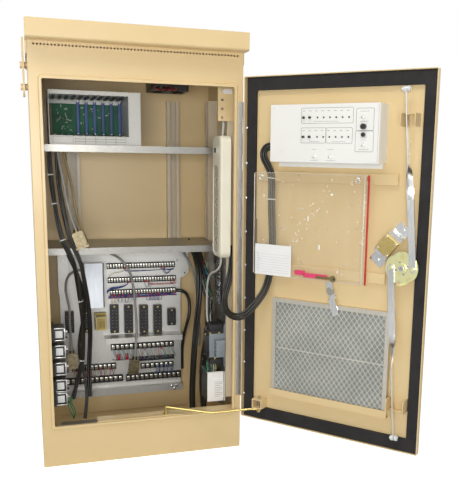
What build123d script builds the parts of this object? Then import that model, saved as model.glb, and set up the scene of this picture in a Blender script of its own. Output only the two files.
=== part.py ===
from build123d import *
import math
import os

os.makedirs("parts", exist_ok=True)

# Cabinet body, in millimetres. Pieces are modelled with the front face at y = 0 and moved on saving,
# so that the origin is the centre of the base. The door is on the -Y side, its hinge on the +X side.
CABINET_W = 610.0
CABINET_D = 432.0
BODY_TOP = 1229.0
SHEET = 3.0
CORNER_R = 8.0
FRONT_Y = 0.0

# Roof hood
ROOF_OVERHANG = 47.0
ROOF_SIDE = 4.0
ROOF_FASCIA = 51.0
ROOF_FALL = 18.0
ROOF_SKIRT = 34.0
ROOF_EDGE_R = 7.0

# Base flange and its anchor holes
BASE_FLANGE = 60.0
BASE_PLATE = 5.0
ANCHOR_R = 8.5
ANCHOR_INSET = 32.0

# Door opening and the raised lip round it
OPENING_X0 = 35.0 - CABINET_W / 2
OPENING_X1 = CABINET_W / 2 - 28
OPENING_Z0 = 126.0
OPENING_Z1 = BODY_TOP - 99
LIP_W = 9.5
LIP_PROUD = 6.7

# Vent holes under the roof
VENT_PITCH = 9.4
VENT_HOLE = 5.0
VENT_Z = BODY_TOP - 9.5
VENT_STRIP_H = 13.0

# Piano hinge
HINGE_X = CABINET_W / 2
HINGE_Y = -12.0
HINGE_Z0 = 176.0
HINGE_Z1 = BODY_TOP - 141
KNUCKLE_R = 3.5
HINGE_PIN_R = 1.5
HINGE_LEAF = 1.6
HINGE_PITCH = 101.6
HINGE_STUDS = int((HINGE_Z1 - HINGE_Z0 - 2 * 20) / HINGE_PITCH) + 1
HINGE_NUTS_Z = [HINGE_Z0 + 20 + i * HINGE_PITCH for i in range(HINGE_STUDS)]
HINGE_NUT_S = 10.2
RUNNING_CLEARANCE = 0.05

# Door pan, in closed-door coordinates: s runs from the hinge towards the latch edge,
# off runs from the hinge plane into the cabinet, z is the height.
DOOR_OPEN = 131.0
DOOR_S0 = 4.5
DOOR_S1 = CABINET_W - 20
DOOR_Z0 = 113.0
DOOR_Z1 = BODY_TOP - 69
DOOR_SKIN = 2.5
FLOOR = -4.0
FLANGE_TIP = 9.0
GASKET_T = 9.0
GASKET_SIDE_W = 31.0
GASKET_END_W = 37.0
GASKET_EDGE_GAP = 1.0

# Small gap between pieces that are near each other but move apart
CLEAR = 0.3

# Wall channels; the shelves reach from channel to channel
CHANNEL_D = 30.0
CHANNEL_W = 41.0
CHANNEL_T = 2.5
SHELF_HALF_W = CABINET_W / 2 - SHEET - CHANNEL_D

# Main panel, on the back channels
PANEL_T = 3.0
PANEL_FRONT = CABINET_D - SHEET - CHANNEL_D - PANEL_T
PANEL_X0 = 76.0 - CABINET_W / 2
PANEL_X1 = CABINET_W / 2 - 114
PANEL_Z0 = 104.0
PANEL_FLANGE = 28.0
SIDE_PANEL_T = 2.3
RIGHT_FACE = CABINET_W / 2 - SHEET - CHANNEL_D - SIDE_PANEL_T


# What is mounted inside keeps its share of the width between the channels, of the depth to the
# panel, of the height, and on the door of the door's width.
def across(x):
    return x * SHELF_HALF_W / 272.0


def deep(y):
    return y * PANEL_FRONT / 396.0


def high(z):
    return z * BODY_TOP / 1229.0


def leaf_s(s):
    return s * DOOR_S1 / 590.0


def route(points):
    """Points of a cable inside the cabinet."""
    return [(across(x), deep(y), high(z)) for x, y, z in points]


# Shelves
SHELF_FRONT = deep(155.0)
SHELF_BACK = PANEL_FRONT - 11
SHELF_SHEET = 2.0
SHELF_LIP = 21.0
LOWER_SHELF_Z = high(641.0)
UPPER_SHELF_Z = high(955.0)
PANEL_Z1 = LOWER_SHELF_Z - 41

# Switch box on the door
BOX_S0 = leaf_s(125.0)
BOX_S1 = leaf_s(456.0)
BOX_Z0 = high(916.0)
BOX_Z1 = high(1073.0)
BOX_OFF = 55.0
BOX_SHEET = 1.6

# Filter on the door
FILTER_S0 = leaf_s(118.0)
FILTER_S1 = DOOR_S1 - 96
FILTER_Z0 = high(214.0)
FILTER_Z1 = high(512.0)
FILTER_T = 18.0
FILTER_FRAME_W = 12.0

# Lock gear on the door
CAM_S = DOOR_S1 - 68
CAM_Z = high(639.0)
CAM_OFF = 15.0
CAM_T = 3.0
CAM_R = 46.0
CRANK_R = 31.0
ROD_T = 3.0
ROD_W = 19.0
UPPER_AXLE = (CAM_S - 9, DOOR_Z1 - 52)
LOWER_AXLE = (CAM_S + 5, DOOR_Z0 + 45)
AXLE_OFF = 24.0
ROD_TIP_W = 14.0
ROLLER_R = 7.5
ROLLER_W = 8.0

# Door stay
STAY_S = 77.0
STAY_OFF = 16.0
STAY_ROD_R = 3.5
STAY_BOLT_R = 3.0
STAY_Z = 150.0
STAY_STUD = (HINGE_X - 238, 16.0)
STAY_DIP = 16.0


def block(x0, x1, y0, y1, z0, z1):
    """A box between two corners."""
    return Pos(x0, y0, z0) * Box(x1 - x0, y1 - y0, z1 - z0, align=(Align.MIN,) * 3)


def leaf_block(s0, s1, off0, off1, z0, z1):
    """A box on the closed door."""
    return block(HINGE_X - s1, HINGE_X - s0, HINGE_Y + off0, HINGE_Y + off1, z0, z1)


def leaf_point(s, off, z):
    """A point on the closed door."""
    return (HINGE_X - s, HINGE_Y + off, z)


def along_x(radius, x0, x1, y, z):
    return Pos((x0 + x1) / 2, y, z) * Rot(0, 90, 0) * Cylinder(radius, x1 - x0)


def along_y(radius, y0, y1, x, z):
    return Pos(x, (y0 + y1) / 2, z) * Rot(90, 0, 0) * Cylinder(radius, y1 - y0)


def along_z(radius, z0, z1, x, y):
    return Pos(x, y, (z0 + z1) / 2) * Cylinder(radius, z1 - z0)


def leaf_peg(radius, off0, off1, s, z):
    """A cylinder standing on the closed door."""
    return along_y(radius, HINGE_Y + off0, HINGE_Y + off1, HINGE_X - s, z)


def swing(shape):
    """Turns a piece modelled on the closed door to the open door's place."""
    return shape.rotate(Axis((HINGE_X, HINGE_Y, 0), (0, 0, 1)), DOOR_OPEN)


def save(name, *shapes):
    """Writes one sub-part, one or more solids."""
    solids = [Pos(0, -CABINET_D / 2, 0) * solid for shape in shapes for solid in shape.solids()]
    whole = solids[0] if len(solids) == 1 else Compound(solids)
    export_step(whole, f"parts/{name}.step")


def save_leaf(name, *shapes):
    """Writes one sub-part of the door, at the open door's place."""
    save(name, *[swing(shape) for shape in shapes])


def cord(name, points, diameter):
    """A round cable: straight runs joined by tangent arcs."""
    vectors = [Vector(*p) for p in points]
    runs = [(b - a).length for a, b in zip(vectors, vectors[1:])]
    radii = []
    for i in range(1, len(vectors) - 1):
        turn = (vectors[i] - vectors[i - 1]).get_angle(vectors[i + 1] - vectors[i])
        radii.append(0.45 * min(runs[i - 1], runs[i]) / math.tan(math.radians(turn) / 2))
    path = FilletPolyline(*points, radius=radii)
    section = Plane(origin=path @ 0, z_dir=path % 0) * Circle(diameter / 2)
    tube = sweep(section, path=path)
    true_volume = math.pi * diameter**2 / 4 * path.length
    print(name, "length", round(path.length), "radii", [round(r) for r in radii],
          "volume ratio", round(tube.volume / true_volume, 4))
    return tube


def channel(length, width, depth, thickness):
    """A C channel along +Z, its web at y=0 and its open side towards -Y."""
    outline = Polyline(
        (-width / 2, 0), (width / 2, 0), (width / 2, -depth), (width / 4, -depth),
        (width / 4, -depth + thickness), (width / 2 - thickness, -depth + thickness),
        (width / 2 - thickness, -thickness), (-width / 2 + thickness, -thickness),
        (-width / 2 + thickness, -depth + thickness), (-width / 4, -depth + thickness),
        (-width / 4, -depth), (-width / 2, -depth), close=True,
    )
    return extrude(make_face(outline), length)


# Cabinet body

half_w = CABINET_W / 2
inner_x = half_w - SHEET
back_inner = CABINET_D - SHEET


def cabinet_wrap():
    """Sides and back folded from one sheet, with rounded back corners."""
    outer = extrude(
        make_face(Polyline(
            (-half_w, SHEET), (-half_w, CABINET_D), (half_w, CABINET_D), (half_w, SHEET), close=True)),
        BODY_TOP)
    back_edges = outer.edges().filter_by(Axis.Z).sort_by(Axis.Y)[-2:]
    outer = fillet(back_edges, CORNER_R)
    inner = block(-inner_x, inner_x, 0, back_inner, -1, BODY_TOP + 1)
    inner = fillet(inner.edges().filter_by(Axis.Z).sort_by(Axis.Y)[-2:], CORNER_R - SHEET)
    return outer - inner


def door_frame():
    """Front sheet with rounded front corners, the door opening and its raised lip."""
    sheet = block(-half_w, half_w, FRONT_Y, SHEET, 0, BODY_TOP)
    front_edges = sheet.edges().filter_by(Axis.Z).sort_by(Axis.Y)[:2]
    sheet = fillet(front_edges, SHEET - 0.4)
    lip = block(OPENING_X0 - LIP_W, OPENING_X1 + LIP_W, -LIP_PROUD, 1, OPENING_Z0 - LIP_W, OPENING_Z1 + LIP_W)
    lip = fillet(lip.edges().filter_by(Axis.Y), 9.0)
    lip = fillet(lip.faces().sort_by(Axis.Y)[0].edges(), 4.0)
    hole = block(OPENING_X0, OPENING_X1, -20, 20, OPENING_Z0, OPENING_Z1)
    hole = fillet(hole.edges().filter_by(Axis.Y), 5.0)
    slot = block(-vent_half, vent_half, -20, 20, VENT_Z - VENT_HOLE / 2, VENT_Z + VENT_HOLE / 2)
    return sheet + lip - hole - slot


vent_count = int((CABINET_W - 20) / VENT_PITCH)
vent_half = (vent_count - 1) * VENT_PITCH / 2 + VENT_HOLE / 2


def vent_strip():
    """Perforated strip behind the slot under the roof."""
    z0 = VENT_Z - VENT_STRIP_H / 2
    strip = block(-vent_half - 3, vent_half + 3, SHEET, SHEET + 1.5, z0, z0 + VENT_STRIP_H)
    holes = [
        block(x - VENT_HOLE / 2 + 0.4, x + VENT_HOLE / 2 - 0.4, 0, 10, VENT_Z - VENT_HOLE / 2 + 0.3,
              VENT_Z + VENT_HOLE / 2 - 0.3)
        for x in [(-(vent_count - 1) / 2 + i) * VENT_PITCH for i in range(vent_count)]
    ]
    return strip - holes


def roof_hood():
    """Folded hood: fascia, sloping top, side skirts and the soffit under the overhang."""
    top_z = BODY_TOP + ROOF_FASCIA
    width = half_w + ROOF_SIDE
    profile = Polyline(
        (-ROOF_OVERHANG, BODY_TOP), (-ROOF_OVERHANG, top_z), (CABINET_D + ROOF_SIDE, top_z - ROOF_FALL),
        (CABINET_D + ROOF_SIDE, BODY_TOP), close=True)
    solid = extrude(Plane.YZ * make_face(profile), width, both=True)
    front_low = solid.edges().filter_by(Axis.X).sort_by(Axis.Y)[:2].sort_by(Axis.Z)[0]
    solid = fillet(front_low, ROOF_EDGE_R)
    hollow_profile = Polyline(
        (-ROOF_OVERHANG + SHEET, BODY_TOP + SHEET), (-ROOF_OVERHANG + SHEET, top_z - SHEET),
        (CABINET_D + ROOF_SIDE - SHEET, top_z - ROOF_FALL - SHEET),
        (CABINET_D + ROOF_SIDE - SHEET, BODY_TOP + SHEET), close=True)
    hollow = extrude(Plane.YZ * make_face(hollow_profile), width - SHEET, both=True)
    solid = solid - hollow - block(-inner_x, inner_x, SHEET, back_inner, BODY_TOP - 1, BODY_TOP + SHEET + 1)
    for side in (-1, 1):
        x0, x1 = sorted((side * half_w, side * width))
        skirt = block(x0, x1, 8, CABINET_D + ROOF_SIDE, BODY_TOP - ROOF_SKIRT, BODY_TOP)
        solid = solid + skirt
    rear = block(-width, width, CABINET_D, CABINET_D + ROOF_SIDE, BODY_TOP - ROOF_SKIRT, BODY_TOP)
    return solid + rear


def base_flange():
    """Flange inside the foot of the cabinet, with four anchor holes round an open middle."""
    plate = block(-inner_x, inner_x, SHEET, back_inner, 0, BASE_PLATE)
    plate = fillet(plate.edges().filter_by(Axis.Z).sort_by(Axis.Y)[-2:], CORNER_R - SHEET)
    middle = block(-inner_x + BASE_FLANGE, inner_x - BASE_FLANGE, SHEET + BASE_FLANGE,
                   back_inner - BASE_FLANGE, -1, BASE_PLATE + 1)
    middle = fillet(middle.edges().filter_by(Axis.Z), 12)
    plate = plate - middle
    for x in (-anchor_x, anchor_x):
        for y in (anchor_y0, anchor_y1):
            plate = plate - along_z(ANCHOR_R, -1, BASE_PLATE + 1, x, y)
    return plate


anchor_x = half_w - ANCHOR_INSET
anchor_y0 = ANCHOR_INSET
anchor_y1 = CABINET_D - ANCHOR_INSET

SILL_Z = OPENING_Z0 + 2.0
SILL_X0 = STAY_STUD[0] - 210
SILL_D = 46.0


def sill_plate():
    """Stay guide behind the sill: a folded plate with a straight slot and its cover strip."""
    x1 = inner_x
    plate = block(SILL_X0, x1, SHEET, SILL_D, SILL_Z - 2, SILL_Z)
    front = block(SILL_X0, x1, SHEET, SHEET + 2, SILL_Z - 24, SILL_Z - 2)
    back = block(SILL_X0, x1, SILL_D - 2, SILL_D, SILL_Z - 24, SILL_Z - 2)
    slot = block(STAY_STUD[0] - 160, STAY_STUD[0] + 8, STAY_STUD[1] - 3.2, STAY_STUD[1] + 3.2,
                 SILL_Z - 10, SILL_Z + 1)
    slot = fillet(slot.edges().filter_by(Axis.Z), 3.1)
    return plate + front + back - slot


def lifting_ear(side):
    """Steel strap bolted flat to the side, standing off it on its washers, with a lifting hole."""
    x0 = side * (half_w + ROOF_SIDE + 3.5)
    x1 = side * (half_w + ROOF_SIDE + 9.5)
    low, top = sorted((x0, x1))
    strap = block(low, top, 70, 120, BODY_TOP - 144, BODY_TOP + 17)
    strap = fillet(strap.edges().filter_by(Axis.X), 12)
    strap = strap - along_x(13, low - 1, top + 1, 95, BODY_TOP - 7)
    washers = []
    for z in (BODY_TOP - 117, BODY_TOP - 57):
        inner, outer = sorted((side * half_w, x0))
        washers.append(along_x(9, inner, outer, 95, z))
        head0, head1 = sorted((x1, x1 + side * 6))
        head = extrude(RegularPolygon(9.5, 6), 3, both=True)
        washers.append(Pos((head0 + head1) / 2, 95, z) * Rot(0, 90, 0) * head)
    ear = strap
    for piece in washers:
        ear = ear + piece
    return ear


def hinge_knuckles(first, spread):
    """Every second knuckle of the piano hinge, bored for the pin."""
    count = 18
    step = (HINGE_Z1 - HINGE_Z0) / count
    barrel = []
    for i in range(first, count, 2):
        z0 = HINGE_Z0 + i * step + CLEAR
        z1 = HINGE_Z0 + (i + 1) * step - CLEAR
        knuckle = along_z(KNUCKLE_R, z0, z1, HINGE_X, HINGE_Y)
        knuckle = knuckle + spread(z0, z1)
        barrel.append(knuckle - along_z(HINGE_PIN_R + RUNNING_CLEARANCE, z0 - 1, z1 + 1, HINGE_X, HINGE_Y))
    return barrel


def cabinet_hinge_leaf():
    """Fixed leaf: flat on the front face, turned forward to the knuckles."""
    leaf = block(HINGE_X - 15, HINGE_X + 0.8, FRONT_Y - HINGE_LEAF, FRONT_Y, HINGE_Z0, HINGE_Z1)
    for i in range(HINGE_STUDS):
        z = HINGE_Z0 + 36 + i * HINGE_PITCH
        rivet = along_y(3, FRONT_Y - HINGE_LEAF - 1.2, FRONT_Y - HINGE_LEAF, HINGE_X - 9, z)
        leaf = leaf + rivet

    def web(z0, z1):
        return block(HINGE_X - 0.8, HINGE_X + 0.8, HINGE_Y + 2, FRONT_Y - HINGE_LEAF, z0, z1)

    for knuckle in hinge_knuckles(0, web):
        leaf = leaf + knuckle
    return leaf


def door_hinge_leaf():
    """Moving leaf: flat on the door's outer face, turned in to the knuckles, with its bolt heads."""
    back = HINGE_Y + FLOOR - DOOR_SKIN
    leaf = block(HINGE_X - DOOR_S0 - 16, HINGE_X + 0.8, back - HINGE_LEAF, back, HINGE_Z0, HINGE_Z1)
    for z in HINGE_NUTS_Z:
        head = along_y(4.5, back - HINGE_LEAF - 2.2, back - HINGE_LEAF, HINGE_X - HINGE_NUT_S, z)
        leaf = leaf + fillet(head.edges().sort_by(Axis.Y)[0], 2.0)

    def web(z0, z1):
        return block(HINGE_X - 0.8, HINGE_X + 0.8, back, HINGE_Y - 2, z0, z1)

    for knuckle in hinge_knuckles(1, web):
        leaf = leaf + knuckle
    return leaf


def hinge_pin():
    return along_z(HINGE_PIN_R, HINGE_Z0 - 2, HINGE_Z1 + 2, HINGE_X, HINGE_Y)


# Inside: channels, shelves and the card rack


def wall_channels():
    """Left, right and back mounting channels."""
    z0 = 150.0
    length = BODY_TOP - 119 - z0
    bar = channel(length, CHANNEL_W, CHANNEL_D, CHANNEL_T)
    left = [Pos(-inner_x, y, z0) * Rot(0, 0, 90) * bar for y in (80, CABINET_D - 102)]
    right = [Pos(inner_x, y, z0) * Rot(0, 0, -90) * bar for y in (80, CABINET_D - 102)]
    back = [Pos(x, back_inner, z0) * bar for x in (136 - half_w, half_w - 136)]
    return left, right, back


def shelf(z):
    """Folded shelf with a front lip, a small return and side flanges."""
    w = SHELF_HALF_W
    plate = block(-w, w, SHELF_FRONT, SHELF_BACK, z - SHELF_SHEET, z)
    lip = block(-w, w, SHELF_FRONT, SHELF_FRONT + SHELF_SHEET, z - SHELF_LIP, z - SHELF_SHEET)
    back_return = block(-w, w, SHELF_FRONT + SHELF_SHEET, SHELF_FRONT + 14, z - SHELF_LIP,
                        z - SHELF_LIP + SHELF_SHEET)
    body = plate + lip + back_return
    for side in (-1, 1):
        x0, x1 = sorted((side * w, side * (w - SHELF_SHEET)))
        body = body + block(x0, x1, SHELF_FRONT + 14, SHELF_BACK, z - SHELF_LIP, z - SHELF_SHEET)
    return body


RACK_X0 = 22.0 - SHELF_HALF_W
RACK_X1 = RACK_X0 + across(273.0)
RACK_FRONT = SHELF_FRONT + 8
RACK_DEPTH = deep(190.0)
RACK_H = 160.0
RACK_SHEET = 2.0
RACK_BAND = 27.0
RACK_BLANK_W = 37.0
CARD_COUNT = 6


def rack_case():
    """Card rack: a folded case open at the front, with its lower label band."""
    z0 = UPPER_SHELF_Z
    z1 = z0 + RACK_H
    outer = block(RACK_X0, RACK_X1, RACK_FRONT, RACK_FRONT + RACK_DEPTH, z0, z1)
    inner = block(RACK_X0 + RACK_SHEET, RACK_X1 - RACK_BLANK_W, RACK_FRONT - 1,
                  RACK_FRONT + RACK_DEPTH - RACK_SHEET, z0 + RACK_BAND, z1 - 12)
    case = outer - inner
    blank = block(RACK_X1 - RACK_BLANK_W + 3, RACK_X1 - 3, RACK_FRONT - 1.5, RACK_FRONT, z0 + RACK_BAND + 2, z1 - 4)
    return case, blank


def rack_fittings():
    """Card guides, the backplane board and its connectors."""
    z0 = UPPER_SHELF_Z + RACK_BAND
    z1 = UPPER_SHELF_Z + RACK_H - 12
    x0 = RACK_X0 + RACK_SHEET
    x1 = RACK_X1 - RACK_BLANK_W
    back = RACK_FRONT + RACK_DEPTH - RACK_SHEET
    pitch = (x1 - x0 - 30) / (CARD_COUNT - 1)
    guides = []
    for i in range(CARD_COUNT * 2 - 1):
        x = x0 + 15 + i * pitch / 2
        for low, top in ((z0, z0 + 5), (z1 - 5, z1)):
            bar = block(x - 4, x + 4, RACK_FRONT + 6, back - 22, low, top)
            groove_z = (low + 2, top + 1) if low == z0 else (low - 1, top - 2)
            guides.append(bar - block(x - 1.2, x + 1.2, RACK_FRONT + 5, back, *groove_z))
    board = block(x0, x1, back - 3, back - 1, z0, z1)
    connectors = []
    for i in range(CARD_COUNT):
        x = x0 + 15 + i * pitch
        body = block(x - 6, x + 6, back - 13, back - 3, z0 + 12, z1 - 12)
        connectors.append(body - block(x - 2.5, x + 2.5, back - 14, back - 7, z0 + 16, z1 - 16))
    return guides, board, connectors


# Bracket with the door switches and the outlet strip below it, on the front right-hand channel
BRACKET_X0 = inner_x - 62
BRACKET_Z1 = BODY_TOP - 89
BRACKET_Z0 = BRACKET_Z1 - 106
BRACKET_Y = 50.0
PLUNGER = (inner_x - 48.5, BRACKET_Z1 - 19)
BRACKET_HOLES = (BRACKET_Z1 - 44, BRACKET_Z1 - 70, BRACKET_Z1 - 96)
STRIP_X0 = inner_x - CHANNEL_D - 34
STRIP_Z0 = LOWER_SHELF_Z - 25
STRIP_Z1 = BRACKET_Z0 - 44
ROCKER_PIN_R = 1.5


def power_strip():
    """Moulded outlet strip on the right-hand channel, its outlet face towards the middle."""
    x0, x1 = STRIP_X0, inner_x - CHANNEL_D
    y0, y1 = 12.0, 112.0
    z0, z1 = STRIP_Z0, STRIP_Z1
    pitch = (z1 - z0 - 134) / 4
    body = block(x0, x1, y0, y1, z0, z1)
    body = fillet(body.edges().filter_by(Axis.X), 22)
    body = fillet(body.faces().sort_by(Axis.X)[0].edges(), 8)
    recess = block(x0 - 5, x0 + 2.5, y0 + 26, y1 - 12, z0 + 14, z1 - 90)
    recess = fillet(recess.edges().filter_by(Axis.X), 18)
    body = body - recess
    for i in range(4):
        z = z0 + 52 + i * pitch
        for dz in (-9, 9):
            body = body - block(x0, x0 + 10, y0 + 44, y0 + 54, z + dz - 1.5, z + dz + 1.5)
        body = body - along_x(3, x0, x0 + 10, y0 + 66, z)
    switch_hole = block(x0 - 1, x0 + 8, y0 + 52, y0 + 78, z1 - 52, z1 - 36)
    trunnion = along_z(ROCKER_PIN_R + RUNNING_CLEARANCE, z1 - 55, z1 - 33, x0 + 5, 77)
    return body - switch_hole - trunnion


def power_strip_rocker():
    """Rocker of the outlet strip's switch, on its own pivot."""
    x0 = STRIP_X0
    z1 = STRIP_Z1
    body = block(x0 - 1.5, x0 + 5, 66, 88, z1 - 50.5, z1 - 37.5)
    wedge = Box(3, 40, 40, align=(Align.MAX, Align.CENTER, Align.CENTER))
    body = fillet(body.edges().filter_by(Axis.Z), 1.2) - Pos(x0 - 1.5, 77, z1 - 44) * Rot(0, 0, 10) * wedge
    return body + along_z(ROCKER_PIN_R, z1 - 54.5, z1 - 33.5, x0 + 5, 77)


def door_switch_bracket():
    """Angle bracket on the right-hand channel, with four switch holes."""
    face = block(BRACKET_X0, inner_x - 4, BRACKET_Y, BRACKET_Y + 2.5, BRACKET_Z0, BRACKET_Z1)
    side = block(inner_x - CHANNEL_D - 2.5, inner_x - CHANNEL_D, BRACKET_Y + 2.5, BRACKET_Y + 46,
                 BRACKET_Z0, BRACKET_Z1)
    plate = face + side
    plate = plate - along_y(4.05, BRACKET_Y - 1, BRACKET_Y + 4, *PLUNGER)
    for z in BRACKET_HOLES:
        plate = plate - along_y(4.0, BRACKET_Y - 1, BRACKET_Y + 4, PLUNGER[0], z)
    for z in (BRACKET_Z0 + 5, BRACKET_Z1 - 5):
        head = along_y(3.5, BRACKET_Y - 2.2, BRACKET_Y, inner_x - 23, z)
        plate = plate + head
    return plate


def door_switch_plunger():
    x, z = PLUNGER
    return along_y(4.0, BRACKET_Y - 16, BRACKET_Y + 12, x, z) + along_y(5.6, BRACKET_Y + 12, BRACKET_Y + 15, x, z)


def door_switch_body():
    x, z = PLUNGER
    body = block(x - 9, x + 9, BRACKET_Y + 3, BRACKET_Y + 34, z - 11, z + 11)
    return body - along_y(6.0, BRACKET_Y, BRACKET_Y + 30, x, z)


# Ceiling plate with the fan

CEILING_Z = BODY_TOP - 59
FAN_X = half_w - 174
FAN_Y = CABINET_D - 132
FAN_HALF = 60.0
FAN_H = 38.0
FAN_SEAT = 5.0


def ceiling_plate():
    plate = block(-inner_x, inner_x, SHEET, back_inner, CEILING_Z, CEILING_Z + 2)
    plate = fillet(plate.edges().filter_by(Axis.Z).sort_by(Axis.Y)[-2:], CORNER_R - SHEET)
    return plate - along_z(FAN_HALF - 5, CEILING_Z - 1, CEILING_Z + 3, FAN_X, FAN_Y)


def fan_frame():
    """Square fan frame with its round duct, three spokes and the motor seat."""
    z0 = CEILING_Z - FAN_H
    frame = block(FAN_X - FAN_HALF, FAN_X + FAN_HALF, FAN_Y - FAN_HALF, FAN_Y + FAN_HALF, z0, CEILING_Z)
    frame = fillet(frame.edges().filter_by(Axis.Z), 6)
    frame = frame - along_z(FAN_HALF - 4, z0 - 1, CEILING_Z + 1, FAN_X, FAN_Y)
    seat = along_z(22, z0, z0 + FAN_SEAT, FAN_X, FAN_Y)
    for angle in (30, 150, 270):
        spoke = Pos(FAN_X, FAN_Y, z0) * Rot(0, 0, angle) * Pos(18, -4, 0) * Box(
            FAN_HALF - 4 + 1 - 18, 8, FAN_SEAT, align=(Align.MIN,) * 3)
        seat = seat + spoke
    return frame + seat


def fan_rotor():
    """Hub and seven swept blades."""
    z0 = CEILING_Z - FAN_H + FAN_SEAT + CLEAR
    rotor = along_z(20, z0, z0 + 26, FAN_X, FAN_Y)
    for i in range(7):
        blade = Rot(0, 0, i * 360 / 7) * Pos(17, 0, 13) * Rot(38, 0, 0) * Box(
            35, 24, 2, align=(Align.MIN, Align.CENTER, Align.CENTER))
        rotor = rotor + Pos(FAN_X, FAN_Y, z0) * blade
    return rotor


def thermostat():
    """Thermostat block under the ceiling plate, with its dial."""
    z0 = CEILING_Z - 30
    x, y = FAN_X - 37, FAN_Y - 100
    body = block(x - 24, x + 24, y - 25, y + 25, z0, CEILING_Z)
    return fillet(body.edges().filter_by(Axis.Z), 3) + along_z(12, z0 - 5, z0, x, y)


# Main panel and what is on it

def main_panel():
    """Aluminium back panel with its bottom flange and front lip."""
    y0 = PANEL_FRONT
    plate = block(PANEL_X0, PANEL_X1, y0, y0 + PANEL_T, PANEL_Z0, PANEL_Z1)
    flange = block(PANEL_X0, PANEL_X1, y0 - PANEL_FLANGE, y0, PANEL_Z0, PANEL_Z0 + PANEL_T)
    lip = block(PANEL_X0, PANEL_X1, y0 - PANEL_FLANGE, y0 - PANEL_FLANGE + PANEL_T, PANEL_Z0 - 20, PANEL_Z0)
    z0, z1 = high(456), PANEL_Z1 - 10
    strip = block(PANEL_X0 - 4, PANEL_X0 + 30, y0 - 22, y0 - 20, z0, z1)
    web = block(PANEL_X0 - 4, PANEL_X0 - 2, y0 - 20, y0 + PANEL_T, z0, z1)
    foot = block(PANEL_X0 - 2, PANEL_X0, y0, y0 + PANEL_T, z0, z1)
    return plate + flange + lip + strip + web + foot + panel_wing()


def side_panel():
    """Aluminium panel on the right-hand channels, under the lower shelf."""
    plate = block(RIGHT_FACE, RIGHT_FACE + SIDE_PANEL_T, 60, CABINET_D - 82, 104, LOWER_SHELF_Z - 27)
    return fillet(plate.edges().filter_by(Axis.X), 5)


def panel_wing():
    """Wing that hangs the main panel at its upper right-hand corner, cut back at the foot."""
    x0, x1 = PANEL_X1, PANEL_X1 + 30
    outline = Plane.XZ * make_face(Polyline(
        (x0, PANEL_Z1 - 2), (x1, PANEL_Z1 - 2), (x1, PANEL_Z1 - 86), (x0 + 8, PANEL_Z1 - 104),
        (x0, PANEL_Z1 - 104), close=True))
    return Pos(0, PANEL_FRONT + PANEL_T, 0) * extrude(outline, PANEL_T)


def guard_box():
    """Bent aluminium guard over the breaker area: a three-sided box."""
    y1 = PANEL_FRONT
    x0, x1 = across(-153), across(-84)
    z0, z1 = high(411), high(565)
    outer = block(x0, x1, y1 - 62, y1, z0, z1)
    outer = fillet(outer.edges().filter_by(Axis.Z).sort_by(Axis.Y)[:2], 6)
    return outer - block(x0 + 2.5, x1 - 2.5, y1 - 59.5, y1 + 1, z0 - 10, z1 + 10)


SOCKET_ROWS = (
    (-47.5, 359, 30, 102), (2, 356, 30, 102), (56, 353, 30, 102), (105, 351, 30, 102),
    (155.5, 356, 30, 62), (-200, 356, 30, 76), (-143, 354, 17, 76),
)


def load_switch_sockets():
    """Black sockets for plug-in units, each with two rows of six slots."""
    sockets = []
    for x, z, w, h in SOCKET_ROWS:
        x, z, h = across(x), high(z), high(h)
        y1 = PANEL_FRONT
        body = block(x - w / 2, x + w / 2, y1 - 18, y1, z - h / 2, z + h / 2)
        body = fillet(body.edges().filter_by(Axis.Y), 2)
        rows = 2 if w > 20 else 1
        for column in range(rows):
            cx = x + (column - (rows - 1) / 2) * 13
            for k in range(6):
                cz = z + (k - 2.5) * (h - 30) / 6
                body = body - block(cx - 3, cx + 3, y1 - 19, y1 - 12, cz - 2, cz + 2)
        sockets.append(body)
    return sockets


def flash_relay():
    """Amber plug-in relay on its black base."""
    y1 = PANEL_FRONT
    x, z = across(-96), high(353)
    base = block(x - 20, x + 20, y1 - 14, y1, z - 31, z + 31)
    cover = block(x - 18, x + 18, y1 - 50, y1 - 14, z - 25, z + 23)
    return base, fillet(cover.edges().filter_by(Axis.Y), 3)


TERMINAL_ROWS = (
    (-69, 169, 546, 20), (-66, 172, 496, 20), (-60, 172, 452, 20),
)
BARRIER_ROWS = (
    (-61, 163, 254, 22), (38, 164, 205, 16), (43, 162, 178, 20), (-197, -45, 186, 22),
    (-219, -22, 140, 26), (-10, 189, 138, 26),
)


def barrier_strip(x0, x1, z, h, pitch):
    """A terminal strip: a base with a fence between each pair of screws."""
    x0, x1, z, h = across(x0), across(x1), high(z), high(h)
    y1 = PANEL_FRONT
    count = max(2, round((x1 - x0) / pitch))
    step = (x1 - x0) / count
    strip = block(x0, x1, y1 - 8, y1, z - h / 2, z + h / 2)
    for i in range(count + 1):
        x = min(max(x0 + i * step, x0 + 0.8), x1 - 0.8)
        strip = strip + block(x - 0.8, x + 0.8, y1 - 15, y1 - 8, z - h / 2, z + h / 2)
    return strip


def terminal_ledge():
    """Folded aluminium ledge under the sockets."""
    y1 = PANEL_FRONT
    x0, x1, z = across(-83), across(186), high(299)
    top = block(x0, x1, y1 - 58, y1, z - 2.5, z)
    lip = block(x0, x1, y1 - 58, y1 - 55.5, z - 19, z - 2.5)
    return top + lip


def wall_relays():
    """Column of white-faced relays on the left-hand channel."""
    units = []
    x0 = -inner_x + CHANNEL_D
    half = high(20)
    for z in (high(392), high(338), high(284), high(230), high(188)):
        base = block(x0, x0 + 12, 55, 150, z - half, z + half)
        body = block(x0 + 12, x0 + 42, 66, 140, z - half + 3, z + half - 3)
        units.append(base + fillet(body.edges().filter_by(Axis.X), 3))
    return units


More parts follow.
